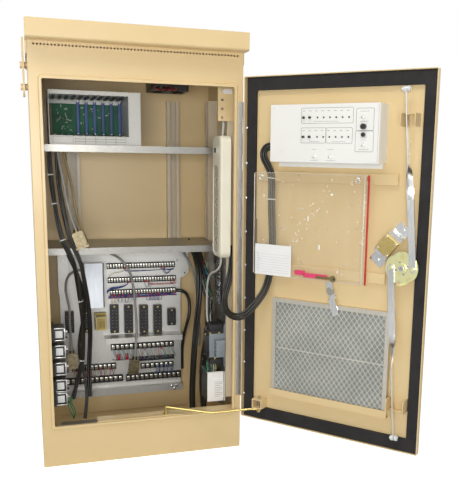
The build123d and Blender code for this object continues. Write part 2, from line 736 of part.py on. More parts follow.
def surge_arrester():
    """Dark surge arrester on the side panel: body, end ears and three posts, with its grey plug block."""
    x1 = RIGHT_FACE
    z = high(324)
    body = block(x1 - 50, x1 - 3, 70, 146, z - 48, z + 48)
    body = chamfer(body.edges().filter_by(Axis.X), 9)
    ears = block(x1 - 44, x1 - 3, 84, 132, z - 66, z + 66)
    base = block(x1 - 3, x1, 62, 154, z - 72, z + 72)
    case = body + ears + base
    for y, dz in ((92, 34), (124, 34), (108, -36)):
        case = case + along_x(5, x1 - 56, x1 - 50, y, z + dz)
    plug = block(x1 - 34, x1 - 4, 46, 70, z - 34, z + 22)
    for k in range(4):
        plug = plug - block(x1 - 35, x1 - 31, 45, 71, z - 28 + k * 12, z - 24 + k * 12)
    return case, plug


def breaker_box():
    """Black enclosure at the lower right with its bare white front label."""
    x1 = RIGHT_FACE
    z0, z1 = high(138), high(236)
    body = block(x1 - 60, x1 - 2, 62, 140, z0, z1)
    body = fillet(body.edges().filter_by(Axis.Z), 3)
    cap = block(x1 - 60, x1, 60, 142, z1, z1 + 3)
    plate = block(x1 - 40, x1 - 4, 60.4, 62, z0 + 8, z1 - 22)
    back = block(x1 - 2, x1, 60, 142, z0, z1)
    return body + back, cap, fillet(plate.edges().filter_by(Axis.Y), 6)


def ground_block():
    """Cream terminal block on the side panel, at the back."""
    x1 = RIGHT_FACE
    y0 = CABINET_D - 120
    return barrier_block(x1 - 20, x1, y0, y0 + 36, high(464), high(562))


def barrier_block(x0, x1, y0, y1, z0, z1):
    body = block(x0 + 6, x1, y0, y1, z0, z1)
    count = 6
    for i in range(count + 1):
        z = z0 + i * (z1 - z0 - 1.6) / count
        body = body + block(x0, x0 + 6, y0, y1, z, z + 1.6)
    return body


# Cables held inside, as points of their routes

LEFT_MAIN = [(-252, 186, 952), (-251.5, 182, 905), (-250, 176, 858), (-246, 167, 812), (-241, 158, 768), (-234, 150, 724),
             (-226, 146, 680), (-211, 145.3, 638), (-193, 145.6, 600), (-185, 165, 560), (-178, 190, 516),
             (-171, 215, 467), (-166, 237, 414), (-163, 255, 358), (-164, 266, 303), (-167, 271, 250),
             (-178, 271, 203), (-192, 266, 160), (-203, 257, 120)]
LEFT_SECOND = [(-214, 238, 635), (-203, 226, 603), (-185, 215, 568), (-169, 216, 524), (-158, 226, 476), (-156, 248, 428),
               (-164, 266, 378), (-174, 278, 326), (-178, 282, 274), (-168, 287, 225), (-160, 278, 179),
               (-156, 265, 134), (-159, 249, 94), (-168, 229, 58)]
GREY_A = [(-228, 182, 952), (-226, 177, 914), (-219, 162, 872), (-213, 142, 829), (-208, 124, 785), (-199, 115, 743),
          (-186, 111, 705)]
GREY_B = [(-153.3, 352, 541), (-178, 351, 540), (-198, 345, 528), (-209, 335, 507), (-212, 324, 482), (-208, 311, 452),
          (-202, 300, 420), (-203, 303, 380), (-202, 300, 342), (-201, 301, 308), (-200, 298, 277)]
GREY_C = [(-92, 330, 637.4), (-86, 327, 618), (-70, 320, 602), (-48, 311, 594), (-26, 301, 578), (-8, 293, 553),
          (3, 286, 520), (9, 281, 478), (12, 280, 432), (15, 280, 382), (16, 281, 332), (12, 280, 284), (8, 280, 246)]
GREY_D = [(176, 350, 637), (181, 342, 612), (192, 326, 590), (206, 310, 566), (218, 302, 534), (226, 300, 494),
          (231, 300, 450), (235, 301, 404), (238, 300, 356), (241, 302, 308), (240, 308, 262)]
PANEL_CABLE = [(172.3, 382, 452), (188, 382, 452), (204, 371, 446), (213, 355, 428), (214, 343, 400), (210, 337, 367),
               (203, 345, 333), (199, 360, 306), (198, 378, 280), (199, 396, 254), (198, 408, 222), (199, 412, 186),
               (199, 412.4, 150)]
RIGHT_HARNESS = [(229, 300, 635), (231, 294, 611), (236, 278, 582), (243, 254, 552), (249, 233, 515), (252, 218, 472),
                 (253, 209, 426), (252, 207, 378), (248, 212, 330), (243, 221, 280), (239, 232, 230),
                 (237, 243, 180), (239, 252, 130), (243, 258, 80), (247, 262, 32)]
STRIP_CORD_IN = [(inner_x - 48, 70, PLUNGER[1] - 11.3), (inner_x - 48, 70, BRACKET_Z0 + 50),
                 (inner_x - 44.5, 66, BRACKET_Z0 + 24), (inner_x - 42, 61, BRACKET_Z0),
                 (inner_x - 43.5, 57.5, BRACKET_Z0 - 22),
                 (inner_x - 46, 56, STRIP_Z1 + 0.3)]
STRIP_CORD_OUT = [(inner_x - 46, 62, STRIP_Z0 - 0.3), (inner_x - 46, 62, STRIP_Z0 - 20), (inner_x - 51, 76, STRIP_Z0 - 42),
                  (inner_x - 59, 98, STRIP_Z0 - 54), (inner_x - 65, 124, STRIP_Z0 - 62),
                  (inner_x - 67, 150, STRIP_Z0 - 82), (inner_x - 66, 170, STRIP_Z0 - 112),
                  (inner_x - 64, 182, STRIP_Z0 - 148), (inner_x - 63, 188, STRIP_Z0 - 186),
                  (inner_x - 62, 187, STRIP_Z0 - 224), (inner_x - 59, 176, high(324) + 36),
                  (inner_x - 58, 162, high(324) + 22), (inner_x - 58, 146.3, high(324) + 22)]


HOOD_NECK = 33.0


def hood_on(points):
    """Metal connector hood on the end of a cable: a flared box, its neck and two jack screws."""
    body = Box(34, 16, 46)
    body = fillet(body.edges().filter_by(Axis.Y), 6)
    neck = Pos(0, 0, 27) * Cylinder(7.5, 12)
    hood = body + neck - Pos(0, 0, 27) * Cylinder(4.6, 14)
    plug = Pos(0, 0, -26) * Box(40, 12, 6)
    screws = Pos(-16, 0, -31) * Cylinder(2, 8) + Pos(16, 0, -31) * Cylinder(2, 8)
    end = Vector(*points[-1])
    direction = (end - Vector(*points[-2])).normalized()
    centre = end + direction * (HOOD_NECK + CLEAR)
    return Plane(origin=centre, x_dir=(1, 0, 0), z_dir=direction * -1) * (hood + plug + screws)


# Door


def door_panel():
    """Door pan: skin with a return flange, stiffening beads, louvres and cut-outs."""
    floor = FLOOR
    pan = leaf_block(DOOR_S0, DOOR_S1, floor - DOOR_SKIN, FLANGE_TIP, DOOR_Z0, DOOR_Z1)
    pan = fillet(pan.edges().filter_by(Axis.Y), 4)
    room = leaf_block(DOOR_S0 + DOOR_SKIN, DOOR_S1 - DOOR_SKIN, floor, FLANGE_TIP + 1,
                      DOOR_Z0 + DOOR_SKIN, DOOR_Z1 - DOOR_SKIN)
    pan = pan - room
    for row in range(LOUVRE_ROWS):
        z = LOUVRE_Z0 + row * LOUVRE_PITCH
        for s0 in LOUVRE_S:
            slot = leaf_block(s0 + 3, s0 + LOUVRE_W - 3, floor - DOOR_SKIN - 1, floor + 1, z, z + 5)
            pan = pan - slot
            pan = pan + louvre(s0, z)
    pan = pan - leaf_peg(HANDLE_R + 0.6, floor - DOOR_SKIN - 1, floor + 1, CAM_S, CAM_Z)
    pan = pan - leaf_block(POLICE_S0 + 12, POLICE_S1 - 12, floor - DOOR_SKIN - 1, floor + 1,
                           POLICE_Z0 + 10, POLICE_Z1 - 10)
    return pan


LOUVRE_ROWS = 9
LOUVRE_PITCH = high(27.0)
LOUVRE_Z0 = high(246.0)
LOUVRE_W = leaf_s(150.0)
LOUVRE_S = (leaf_s(146.0), leaf_s(316.0))


def louvre(s0, z):
    """One pressed louvre: a quarter-round hood over its slot, open below."""
    y = HINGE_Y + FLOOR - DOOR_SKIN
    radius = 9.0
    outline = Plane.YZ * make_face(Polyline(
        (y, z + radius), (y, z + radius - 1.8), (y - radius + 1.8, z), (y - radius, z), (y - radius, z + 1),
        close=True))
    hood = Pos(HINGE_X - s0 - LOUVRE_W, 0, 0) * extrude(outline, LOUVRE_W)
    ends = []
    for x in (HINGE_X - s0 - LOUVRE_W, HINGE_X - s0 - 1.6):
        cheek = Plane.YZ * make_face(Polyline((y, z), (y, z + radius), (y - radius, z), close=True))
        ends.append(Pos(x, 0, 0) * extrude(cheek, 1.6))
    return hood + ends[0] + ends[1]


HANDLE_R = 9.0
POLICE_S0 = leaf_s(150.0)
POLICE_S1 = leaf_s(430.0)
POLICE_Z0 = high(930.0)
POLICE_Z1 = high(1060.0)
POLICE_MID = (POLICE_Z0 + POLICE_Z1) / 2
POLICE_BARREL = (POLICE_Z1 - POLICE_Z0) / 2 - 17


def door_gasket():
    """Closed-cell gasket glued round the pan."""
    g = GASKET_EDGE_GAP
    s0 = DOOR_S0 + DOOR_SKIN + 6.5
    s1 = DOOR_S1 - DOOR_SKIN - g
    z0 = DOOR_Z0 + DOOR_SKIN + g
    z1 = DOOR_Z1 - DOOR_SKIN - g
    outer = leaf_block(s0, s1, FLOOR, FLOOR + GASKET_T, z0, z1)
    inner = leaf_block(s0 + GASKET_SIDE_W, s1 - GASKET_SIDE_W, FLOOR - 1, FLOOR + GASKET_T + 1,
                       z0 + GASKET_END_W, z1 - GASKET_END_W)
    return outer - fillet(inner.edges().filter_by(Axis.Y), 4)


def hinge_nuts():
    """Nine dome nuts of the hinge studs, in the pan beside the gasket."""
    nuts = []
    for z in HINGE_NUTS_Z:
        nut = leaf_peg(2.8, FLOOR, FLOOR + 5, HINGE_NUT_S, z)
        nuts.append(fillet(nut.edges().sort_by(Axis.Y)[-1], 1.6))
    return nuts


def switch_box():
    """Aluminium box on the inside of the door, with flanges and the pressed switch holes."""
    box = leaf_block(BOX_S0, BOX_S1, FLOOR, BOX_OFF, BOX_Z0, BOX_Z1)
    box = fillet(box.edges().filter_by(Axis.Y), 2)
    room = leaf_block(BOX_S0 + BOX_SHEET, BOX_S1 - BOX_SHEET, FLOOR - 1, BOX_OFF - BOX_SHEET,
                      BOX_Z0 + BOX_SHEET, BOX_Z1 - BOX_SHEET)
    box = box - room
    for s, z in BUTTONS:
        box = box - leaf_peg(BUTTON_R + 0.1, BOX_OFF - 5, BOX_OFF + 1, s, z)
    for s, z in LAMP_HOLES:
        box = box - leaf_peg(2.6, BOX_OFF - 5, BOX_OFF + 1, s, z)
    for s, z in TOGGLES:
        box = box - leaf_peg(3.2, BOX_OFF - 5, BOX_OFF + 1, s, z)
        ring = leaf_peg(5.0, BOX_OFF, BOX_OFF + 2.5, s, z) - leaf_peg(3.6, BOX_OFF - 1, BOX_OFF + 3, s, z)
        box = box + ring
    fuses = []
    for s, z, radius, proud in FUSES:
        fuse = leaf_peg(radius, BOX_OFF, BOX_OFF + proud, s, z)
        fuses.append(fuse - leaf_block(s - 5, s + 5, BOX_OFF + proud - 1.5, BOX_OFF + proud + 1, z - 0.8, z + 0.8))
    lip = leaf_block(BOX_S0 - 2, BOX_S1 - 10, FLOOR, FLOOR + 2, BOX_Z0 - 14, BOX_Z0)
    for s, z in ((BOX_S0 + 35, BOX_Z0 + 30), (BOX_S0 + 14, BOX_Z0 - 8), (BOX_S1 - 24, BOX_Z0 - 8)):
        off = BOX_OFF if z > BOX_Z0 else FLOOR + 2
        box = box + leaf_peg(3.2, off - 0.5, off + 1.6, s, z)
    return [box + lip, *fuses]


BUTTON_ROWS = (BOX_Z1 - 36, BOX_Z1 - 88)
BUTTON_R = 3.4
BUTTONS = [(BOX_S0 + 106 + i * 19.0, z) for z in BUTTON_ROWS for i in (0, 1)]
LAMP_HOLES = [(BOX_S0 + 148 + i * 18.8, z) for z in BUTTON_ROWS for i in range(6)]
TOGGLES = [(BOX_S0 + 143, BOX_Z0 + 18), (BOX_S0 + 192, BOX_Z0 + 18),
           (BOX_S1 - 47, BOX_Z1 - 34), (BOX_S1 - 44, BOX_Z1 - 107)]
FUSES = ((BOX_S1 - 45, BOX_Z1 - 61, 7.5, 9.0), (BOX_S1 - 45, BOX_Z1 - 82, 5.5, 7.0))


def push_button(s, z, radius, proud):
    stem = leaf_peg(radius, BOX_OFF - 10, BOX_OFF + proud, s, z)
    stem = fillet(stem.edges().sort_by(Axis.Y)[-1], radius * 0.35)
    return stem + leaf_peg(radius + 1.2, BOX_OFF - 12, BOX_OFF - 10, s, z)


TOGGLE_TILT = 14.0


def toggle(s, z):
    """Toggle bat: a round pivot in the bushing and a tapered lever, thrown down."""
    x, y, _ = leaf_point(s, BOX_OFF - 2, z)
    ball = along_x(2.6, x - 1.7, x + 1.7, y, z)
    bat = Cone(1.3, 2.1, 15)
    lever = Pos(x, y, z) * Rot(-90 - TOGGLE_TILT, 0, 0) * Pos(0, 0, 9.0) * bat
    return ball + lever


# Document pouch, hung in front of the harness
POUCH_S0 = leaf_s(48.0)
POUCH_S1 = leaf_s(412.0)
POUCH_Z0 = high(580.0)
POUCH_Z1 = high(884.0)
POUCH_OFF = 13.3
POUCH_T = 3.0
RAIL_OFF = FLOOR + 9
RAIL_H = 31.0
RING_S = (POUCH_S0 + 27, POUCH_S1 - 28)


def pouch_rails():
    """Upper and lower hat rails that carry the pouch."""
    def rail(s0, s1, z0, z1):
        bar = leaf_block(s0, s1, FLOOR, RAIL_OFF, z0, z1)
        return chamfer(bar.faces().sort_by(Axis.Y)[-1].edges(), 1.5)
    return (rail(POUCH_S0 + 8, leaf_s(494), POUCH_Z1 - 26, POUCH_Z1 - 26 + RAIL_H),
            rail(POUCH_S0 + 8, leaf_s(470), POUCH_Z0 + 6, POUCH_Z0 + 6 + RAIL_H))


def pouch():
    """Clear document pouch, closed by its zip, with an eye for each ring's stud."""
    body = leaf_block(POUCH_S0, POUCH_S1, POUCH_OFF, POUCH_OFF + POUCH_T, POUCH_Z0, POUCH_Z1)
    body = fillet(body.edges().filter_by(Axis.Y), 5)
    for s in RING_S:
        body = body - leaf_peg(2.5 + CLEAR, POUCH_OFF - 1, POUCH_OFF + POUCH_T + 1, s, POUCH_Z1 - 9.5)
    return body


def pouch_zip():
    s0 = POUCH_S1 + CLEAR
    tape = leaf_block(s0, s0 + 5.7, POUCH_OFF, POUCH_OFF + POUCH_T, POUCH_Z0, POUCH_Z1)
    front = POUCH_OFF + POUCH_T
    return tape + leaf_block(s0 - 1.3, s0 + 7.2, front, front + 2.5, POUCH_Z1 - 16, POUCH_Z1 - 4)


def pouch_rings():
    """Two split rings on studs that hang the pouch on the upper rail."""
    rings = []
    front = POUCH_OFF + POUCH_T
    for s in RING_S:
        x, y, z = leaf_point(s, front + CLEAR + 1.1, POUCH_Z1 - 16)
        ring = Pos(x, y, z) * Rot(90, 0, 0) * Torus(6.5, 1.1)
        stud = leaf_peg(2.5, RAIL_OFF, front + 3.4, s, POUCH_Z1 - 9.5)
        rings.append(ring + stud)
    return rings


def label_card():
    front = POUCH_OFF + POUCH_T + CLEAR
    return leaf_block(POUCH_S0 + 8, POUCH_S0 + 132, front, front + 1, POUCH_Z0, POUCH_Z0 + 92)


def key_tag():
    """Key with its bow and blade, and the two pink tags on its ring."""
    off = POUCH_OFF + POUCH_T + CLEAR
    s0 = POUCH_S0 + 144
    z = POUCH_Z0 + 12
    first = leaf_block(s0, s0 + 36, off, off + 1.2, z - 2, z + 12)
    first = fillet(first.edges().filter_by(Axis.Y), 4)
    second = leaf_block(s0 + 30, s0 + 108, off, off + 1.2, z - 7, z + 6)
    second = fillet(second.edges().filter_by(Axis.Y), 4)
    blade = leaf_block(s0 + 72, s0 + 120, off + 1.5, off + 3.7, z - 6, z + 1)
    bow = leaf_peg(9, off + 1.5, off + 3.7, s0 + 126, z - 3) - leaf_peg(2.6, off - 1, off + 5, s0 + 130, z - 3)
    return first + second, blade + bow


def filter_frame():
    """Folded aluminium frame of the air filter."""
    w = FILTER_FRAME_W
    outer = leaf_block(FILTER_S0, FILTER_S1, FLOOR + CLEAR, FLOOR + FILTER_T, FILTER_Z0, FILTER_Z1)
    front_hole = leaf_block(FILTER_S0 + w, FILTER_S1 - w, FLOOR - 1, FLOOR + FILTER_T + 1,
                            FILTER_Z0 + w, FILTER_Z1 - w)
    groove = leaf_block(FILTER_S0 + 1.5, FILTER_S1 - 1.5, FLOOR + 2, FLOOR + FILTER_T - 1.5, FILTER_Z0 + 1.5,
                        FILTER_Z1 - 1.5)
    return outer - front_hole - groove


def filter_media():
    """Pleated filter pad held in the frame's groove."""
    return leaf_block(FILTER_S0 + 2, FILTER_S1 - 2, FLOOR + 3, FLOOR + FILTER_T - 3.5, FILTER_Z0 + 2, FILTER_Z1 - 2)


def filter_channel():
    """Bottom channel that the filter stands in, with a narrow ledge and front wall."""
    s0, s1 = FILTER_S0 - 5, FILTER_S1 + 3
    z0 = FILTER_Z0 - 6
    ledge = leaf_block(s0, s1, FLOOR, FLOOR + FILTER_T + 4, z0 - 2, z0)
    wall = leaf_block(s0, s1, FLOOR + FILTER_T + 2, FLOOR + FILTER_T + 4, z0, z0 + 20)
    top = leaf_block(FILTER_S0 + 4, FILTER_S1 - 4, FLOOR, FLOOR + 2, z0 - 14, z0 - 2)
    seat = leaf_block(FILTER_S0 + 8, FILTER_S1 - 8, FLOOR + 6, FLOOR + 18, z0, FILTER_Z0)
    return ledge + wall + top + seat


CLIP_S = (FILTER_S0 + FILTER_S1) / 2
CLIP_Z = FILTER_Z1 + 39
CLIP_SCREW_R = 3.0
CLIP_TILT = 20.0


def filter_clip():
    """Turn clip: a cranked strap on its thumbscrew."""
    strap = leaf_block(CLIP_S - 10, CLIP_S + 10, FLOOR + 6, FLOOR + 8, CLIP_Z - 22, CLIP_Z + 26)
    step = leaf_block(CLIP_S - 10, CLIP_S + 10, FLOOR + 6, FLOOR + FILTER_T + 2.5, CLIP_Z - 24, CLIP_Z - 22)
    tongue = leaf_block(CLIP_S - 10, CLIP_S + 10, FLOOR + FILTER_T + 0.5, FLOOR + FILTER_T + 2.5,
                        CLIP_Z - 72, CLIP_Z - 24)
    strap = strap + step + tongue
    strap = strap - leaf_peg(CLIP_SCREW_R + RUNNING_CLEARANCE, FLOOR + 5, FLOOR + 9, CLIP_S, CLIP_Z)
    x, y, z = leaf_point(CLIP_S, 0, CLIP_Z)
    return strap.rotate(Axis((x, y, z), (0, 1, 0)), CLIP_TILT)


def clip_screw():
    """Knurled thumbscrew and the standoff that carries the clip."""
    shank = leaf_peg(CLIP_SCREW_R, FLOOR, FLOOR + 9, CLIP_S, CLIP_Z)
    boss = leaf_peg(7, FLOOR, FLOOR + 5.7, CLIP_S, CLIP_Z)
    head = leaf_peg(11, FLOOR + 8.3, FLOOR + 16, CLIP_S, CLIP_Z)
    return shank + boss + chamfer(head.edges().sort_by(Axis.Y)[-1], 1.5)


def stay_bracket():
    """Square tube bracket at the foot of the door and its vertical bolt."""
    s0, s1 = STAY_S - 17, STAY_S + 17
    tube = leaf_block(s0, s1, FLOOR, STAY_OFF + 16, STAY_Z + 6, STAY_Z + 36)
    bore = leaf_block(s0 + 3, s1 - 3, FLOOR - 1, STAY_OFF + 17, STAY_Z + 9, STAY_Z + 33)
    x, y, _ = leaf_point(STAY_S, STAY_OFF, 0)
    bolt = along_z(STAY_BOLT_R, STAY_Z - 6, STAY_Z + 42, x, y)
    hole = along_z(STAY_BOLT_R + RUNNING_CLEARANCE, STAY_Z, STAY_Z + 50, x, y)
    nut = Pos(x, y, STAY_Z + 36) * extrude(RegularPolygon(5.5, 6), 5)
    keeper = along_z(5.0, STAY_Z - 9, STAY_Z - 6, x, y)
    return tube - bore - hole, bolt + nut + keeper


def stay_rod():
    """Bent hold-open rod: an eye on the door's bolt and a stud over the sill slot."""
    px, py, _ = swing_point(STAY_S, STAY_OFF)
    eye = along_z(8, STAY_Z - 5.5, STAY_Z + 5.5, px, py)
    qx, qy = STAY_STUD
    near = (px + (qx - px) * 0.09, py + (qy - py) * 0.09, STAY_Z)
    middle = ((px + qx) / 2, (py + qy) / 2, STAY_Z - STAY_DIP)
    path = FilletPolyline((px, py, STAY_Z), near, middle, (qx, qy, STAY_Z), radius=[30, 60])
    section = Plane(origin=path @ 0, z_dir=path % 0) * Circle(STAY_ROD_R)
    rod = sweep(section, path=path)
    stud = along_z(STAY_ROD_R, SILL_Z + 1.8, STAY_Z + STAY_ROD_R, *STAY_STUD)
    washer = along_z(9, SILL_Z + CLEAR, SILL_Z + 1.8, *STAY_STUD)
    nut = Pos(STAY_STUD[0], STAY_STUD[1], SILL_Z + 1.8) * extrude(RegularPolygon(6, 6), 5)
    body = rod + eye + stud + washer + nut
    return body - along_z(STAY_BOLT_R + RUNNING_CLEARANCE, STAY_Z - 10, STAY_Z + 10, px, py)


def swing_point(s, off):
    """Plan position on the open door."""
    angle = math.radians(DOOR_OPEN)
    x, y = -s, off
    return (HINGE_X + x * math.cos(angle) - y * math.sin(angle),
            HINGE_Y + x * math.sin(angle) + y * math.cos(angle), 0)


# Lock gear

LOCK_S = CAM_S - 44
LOCK_Z = CAM_Z + 58
LOCK_ANGLE = 51.3
LOCK_BOLT_W = 18.0
LOCK_BOLT_T = 6.0
LOCK_BOLT_L = 20.0
LOCK_BOLT_TIP = 14.8


def lock_axis(shape):
    """Places a piece modelled about the lock's own axes: x along the bracket, y across, z off the door."""
    x, y, z = leaf_point(LOCK_S, FLOOR, LOCK_Z)
    return Pos(x, y, z) * Rot(-90, 0, 0) * Rot(0, 0, LOCK_ANGLE - 180) * shape


def lock_bracket():
    """Zinc hat bracket that carries the lock case."""
    profile = Polyline((-68, 0), (-68, 2.5), (-44, 2.5), (-38, 17), (38, 17), (44, 2.5), (68, 2.5), (68, 0),
                       (42.3, 0), (36.3, 14.5), (-36.3, 14.5), (-42.3, 0), close=True)
    hat = extrude(Plane.XZ * make_face(profile), 21, both=True)
    for x in (-56, 56):
        hat = hat + Pos(x, 0, 2.5) * Cylinder(4.5, 2.6, align=(Align.CENTER, Align.CENTER, Align.MIN))
    return lock_axis(hat)


def lock_case():
    """Brass lock case with four screws."""
    case = Pos(0, 0, 17) * Box(50, 44, 12, align=(Align.CENTER, Align.CENTER, Align.MIN))
    case = chamfer(case.faces().sort_by(Axis.Z)[-1].edges(), 1.2)
    pocket = Box(LOCK_BOLT_W + 0.4, 40, LOCK_BOLT_T + 0.4, align=(Align.CENTER, Align.MAX, Align.MIN))
    case = case - Pos(0, LOCK_BOLT_L - LOCK_BOLT_TIP + 1, 20) * pocket
    for x in (-20, 20):
        for y in (-17, 17):
            case = case + Pos(x, y, 29) * Cylinder(3.2, 1.8, align=(Align.CENTER, Align.CENTER, Align.MIN))
    return lock_axis(case)


def lock_bolt():
    """Bolt that blocks the cam, drawn back into its case."""
    bolt = Box(LOCK_BOLT_W, LOCK_BOLT_L, LOCK_BOLT_T, align=(Align.CENTER, Align.MIN, Align.MIN))
    return lock_axis(Pos(0, -LOCK_BOLT_TIP, 20.2) * bolt)


def cam_plate():
    """Three-point cam: round plate with flats, on the handle's shaft, with a bent stop tab."""
    plate = leaf_peg(CAM_R, CAM_OFF, CAM_OFF + CAM_T, CAM_S, CAM_Z)
    for angle in (35, 145, 215, 325):
        flat = Box(80, 20, 20, align=(Align.CENTER, Align.CENTER, Align.MIN))
        cutter = Rot(0, angle, 0) * Pos(0, 0, CAM_R - 3) * flat
        x, y, z = leaf_point(CAM_S, CAM_OFF, CAM_Z)
        plate = plate - Pos(x, y, z) * cutter
    tab = leaf_block(CAM_S - 9, CAM_S + 9, CAM_OFF, CAM_OFF + 16, CAM_Z - CAM_R - 1, CAM_Z - CAM_R + 2)
    plate = plate + tab
    for s in (CAM_S - CRANK_R, CAM_S + CRANK_R):
        plate = plate + leaf_peg(3.5, CAM_OFF + CAM_T, CAM_OFF + CAM_T + ROD_T + 1.0, s, CAM_Z)
        plate = plate + leaf_peg(6.0, CAM_OFF + CAM_T + ROD_T + 0.8, CAM_OFF + CAM_T + ROD_T + 3.5, s, CAM_Z)
    return plate - leaf_peg(HANDLE_R - 0.01, CAM_OFF - 5, CAM_OFF + 10, CAM_S, CAM_Z)


def handle():
    """Outer handle: shaft through the door, escutcheon hub and a bent grip bar."""
    shaft = leaf_peg(HANDLE_R, FLOOR - DOOR_SKIN - 24, CAM_OFF + 8, CAM_S, CAM_Z)
    nut = leaf_peg(13, CAM_OFF + CAM_T, CAM_OFF + CAM_T + 5, CAM_S, CAM_Z)
    collar = leaf_peg(16, FLOOR - DOOR_SKIN - 8, FLOOR - DOOR_SKIN - CLEAR, CAM_S, CAM_Z)
    back = HINGE_Y + FLOOR - DOOR_SKIN
    x = HINGE_X - CAM_S
    path = FilletPolyline((x, back - 26, CAM_Z + 6), (x, back - 30, CAM_Z - 40), (x, back - 46, CAM_Z - 66),
                          (x, back - 46, CAM_Z - 150), radius=[40, 22])
    section = Plane(origin=path @ 0, z_dir=path % 0) * Circle(9.5)
    grip = sweep(section, path=path)
    return shaft + nut + collar + grip


ROD_OFF = CAM_OFF + CAM_T + CLEAR
ROD_MID = ROD_OFF + ROD_T / 2
ROD_FLAT = 185.0
ROD_TWIST = 95.0
ROD_TIP = 55.0
AXLE_R = 3.0
ROLLER_PLAY = 0.4


def lock_rod(screw, axle):
    """Flat bar from the cam screw to the roller axle, twisted a quarter turn on the way."""
    sx, sz = screw
    ax, az = axle
    length = math.hypot(ax - sx, az - sz)
    flat = ROD_FLAT
    twisted = ROD_TWIST
    shift = AXLE_OFF - ROD_MID
    sections = []
    steps = 6
    for i in range(steps + 1):
        turn = 90 * i / steps
        place = Pos(0, shift * i / steps, flat + twisted * i / steps) * Rot(0, 0, turn)
        sections.append(place * Rectangle(ROD_W, ROD_T))
    twist = loft(sections, ruled=True)
    start = Pos(0, 0, 0) * Box(ROD_W, ROD_T, flat, align=(Align.CENTER, Align.CENTER, Align.MIN))
    round_end = Rot(90, 0, 0) * Cylinder(ROD_W / 2, ROD_T)
    start = start + round_end
    end = Pos(0, shift, flat + twisted) * Box(ROD_T, ROD_W, length - ROD_TIP - flat - twisted,
                                              align=(Align.CENTER, Align.CENTER, Align.MIN))
    tip = Pos(0, shift, length - ROD_TIP) * Box(ROD_T, ROD_TIP_W, ROD_TIP,
                                                align=(Align.CENTER, Align.CENTER, Align.MIN))
    tip = tip + Pos(0, shift, length) * Rot(0, 90, 0) * Cylinder(ROD_TIP_W / 2, ROD_T)
    bar = start + twist + end + tip
    bar = bar - Rot(90, 0, 0) * Cylinder(3.5 + RUNNING_CLEARANCE, ROD_T + 2)
    reach = ROD_T / 2 + ROLLER_W + 2 * ROLLER_PLAY
    axle_pin = Pos(0, shift, length) * Rot(0, 90, 0) * Cylinder(AXLE_R, 2 * reach)
    for side in (-1, 1):
        head = Pos(side * (reach + 1), shift, length) * Rot(0, 90, 0) * Cylinder(4.6, 2.0)
        axle_pin = axle_pin + head
    bar = bar + axle_pin
    direction = math.degrees(math.atan2(-(ax - sx), az - sz))
    x, y, z = leaf_point(sx, ROD_MID, sz)
    return Pos(x, y, z) * Rot(0, direction, 0) * bar


def rod_rollers(screw, axle):
    """Two nylon rollers on the rod's axle."""
    sx, sz = screw
    ax, az = axle
    length = math.hypot(ax - sx, az - sz)
    direction = math.degrees(math.atan2(-(ax - sx), az - sz))
    rollers = []
    for side in (-1, 1):
        wheel = Cylinder(ROLLER_R, ROLLER_W)
        wheel = chamfer(wheel.edges(), 1.0) - Cylinder(AXLE_R + RUNNING_CLEARANCE, ROLLER_W + 2)
        out = side * (ROD_T / 2 + ROLLER_PLAY + ROLLER_W / 2)
        rollers.append(Pos(out, AXLE_OFF - ROD_MID, length) * Rot(0, 90, 0) * wheel)
    x, y, z = leaf_point(sx, ROD_MID, sz)
    return [Pos(x, y, z) * Rot(0, direction, 0) * roller for roller in rollers]


def rod_guide(s, w, z, height, end):
    """Folded guide for a rod: two cheeks and a slotted end plate, above or below."""
    depth = AXLE_OFF + ROD_W / 2 + 3
    outer = leaf_block(s - w, s + w, FLOOR, depth, z - height / 2, z + height / 2)
    low = z - height / 2 - 1 + (3.5 if end < 0 else 0)
    top = z + height / 2 + 1 - (3.5 if end > 0 else 0)
    room = leaf_block(s - w + 2.5, s + w - 2.5, FLOOR - 1, depth + 1, low, top)
    slot = leaf_block(s - 0.75 * w, s + 0.75 * w, AXLE_OFF - ROD_W / 2 - 1, depth + 1, z - height, z + height)
    guide = outer - room - slot
    for side in (-1, 1):
        x, y, zc = leaf_point(s + side * w, depth, z - end * height / 2)
        corner = Pos(x, y, zc) * Rot(45, 0, 0) * Box(8, 12, 12)
        guide = guide - corner
    return guide


GUIDE_UP = (CAM_S + 2, 21, DOOR_Z1 - 130, 34, 1)
GUIDE_LOW = (CAM_S + 5, 26, DOOR_Z0 + 139, 38, -1)


def police_door():
    """Small access door on the outside, over the switch compartment, with its lock."""
    out = FLOOR - DOOR_SKIN
    half = POLICE_BARREL
    plate = leaf_block(POLICE_S0, POLICE_S1, out - 4.3, out - CLEAR, POLICE_Z0, POLICE_Z1)
    plate = fillet(plate.edges().filter_by(Axis.Y), 6)
    x, y = HINGE_X - POLICE_S0 + 4, HINGE_Y + out - 4.3
    bore = along_z(1.55, POLICE_MID - half - 2, POLICE_MID + half + 2, x, y)
    barrel = along_z(3.6, POLICE_MID - half, POLICE_MID + half, x, y)
    web = leaf_block(POLICE_S0 - 2, POLICE_S0 + 4, out - 6, out - 3.2, POLICE_MID - half, POLICE_MID + half)
    lock = leaf_peg(11, out - 9, out - 4, POLICE_S1 - 24, POLICE_MID)
    keyway = leaf_block(POLICE_S1 - 24.8, POLICE_S1 - 23.2, out - 10, out - 7, POLICE_MID - 5, POLICE_MID + 5)
    return plate + barrel + web + lock - keyway - bore


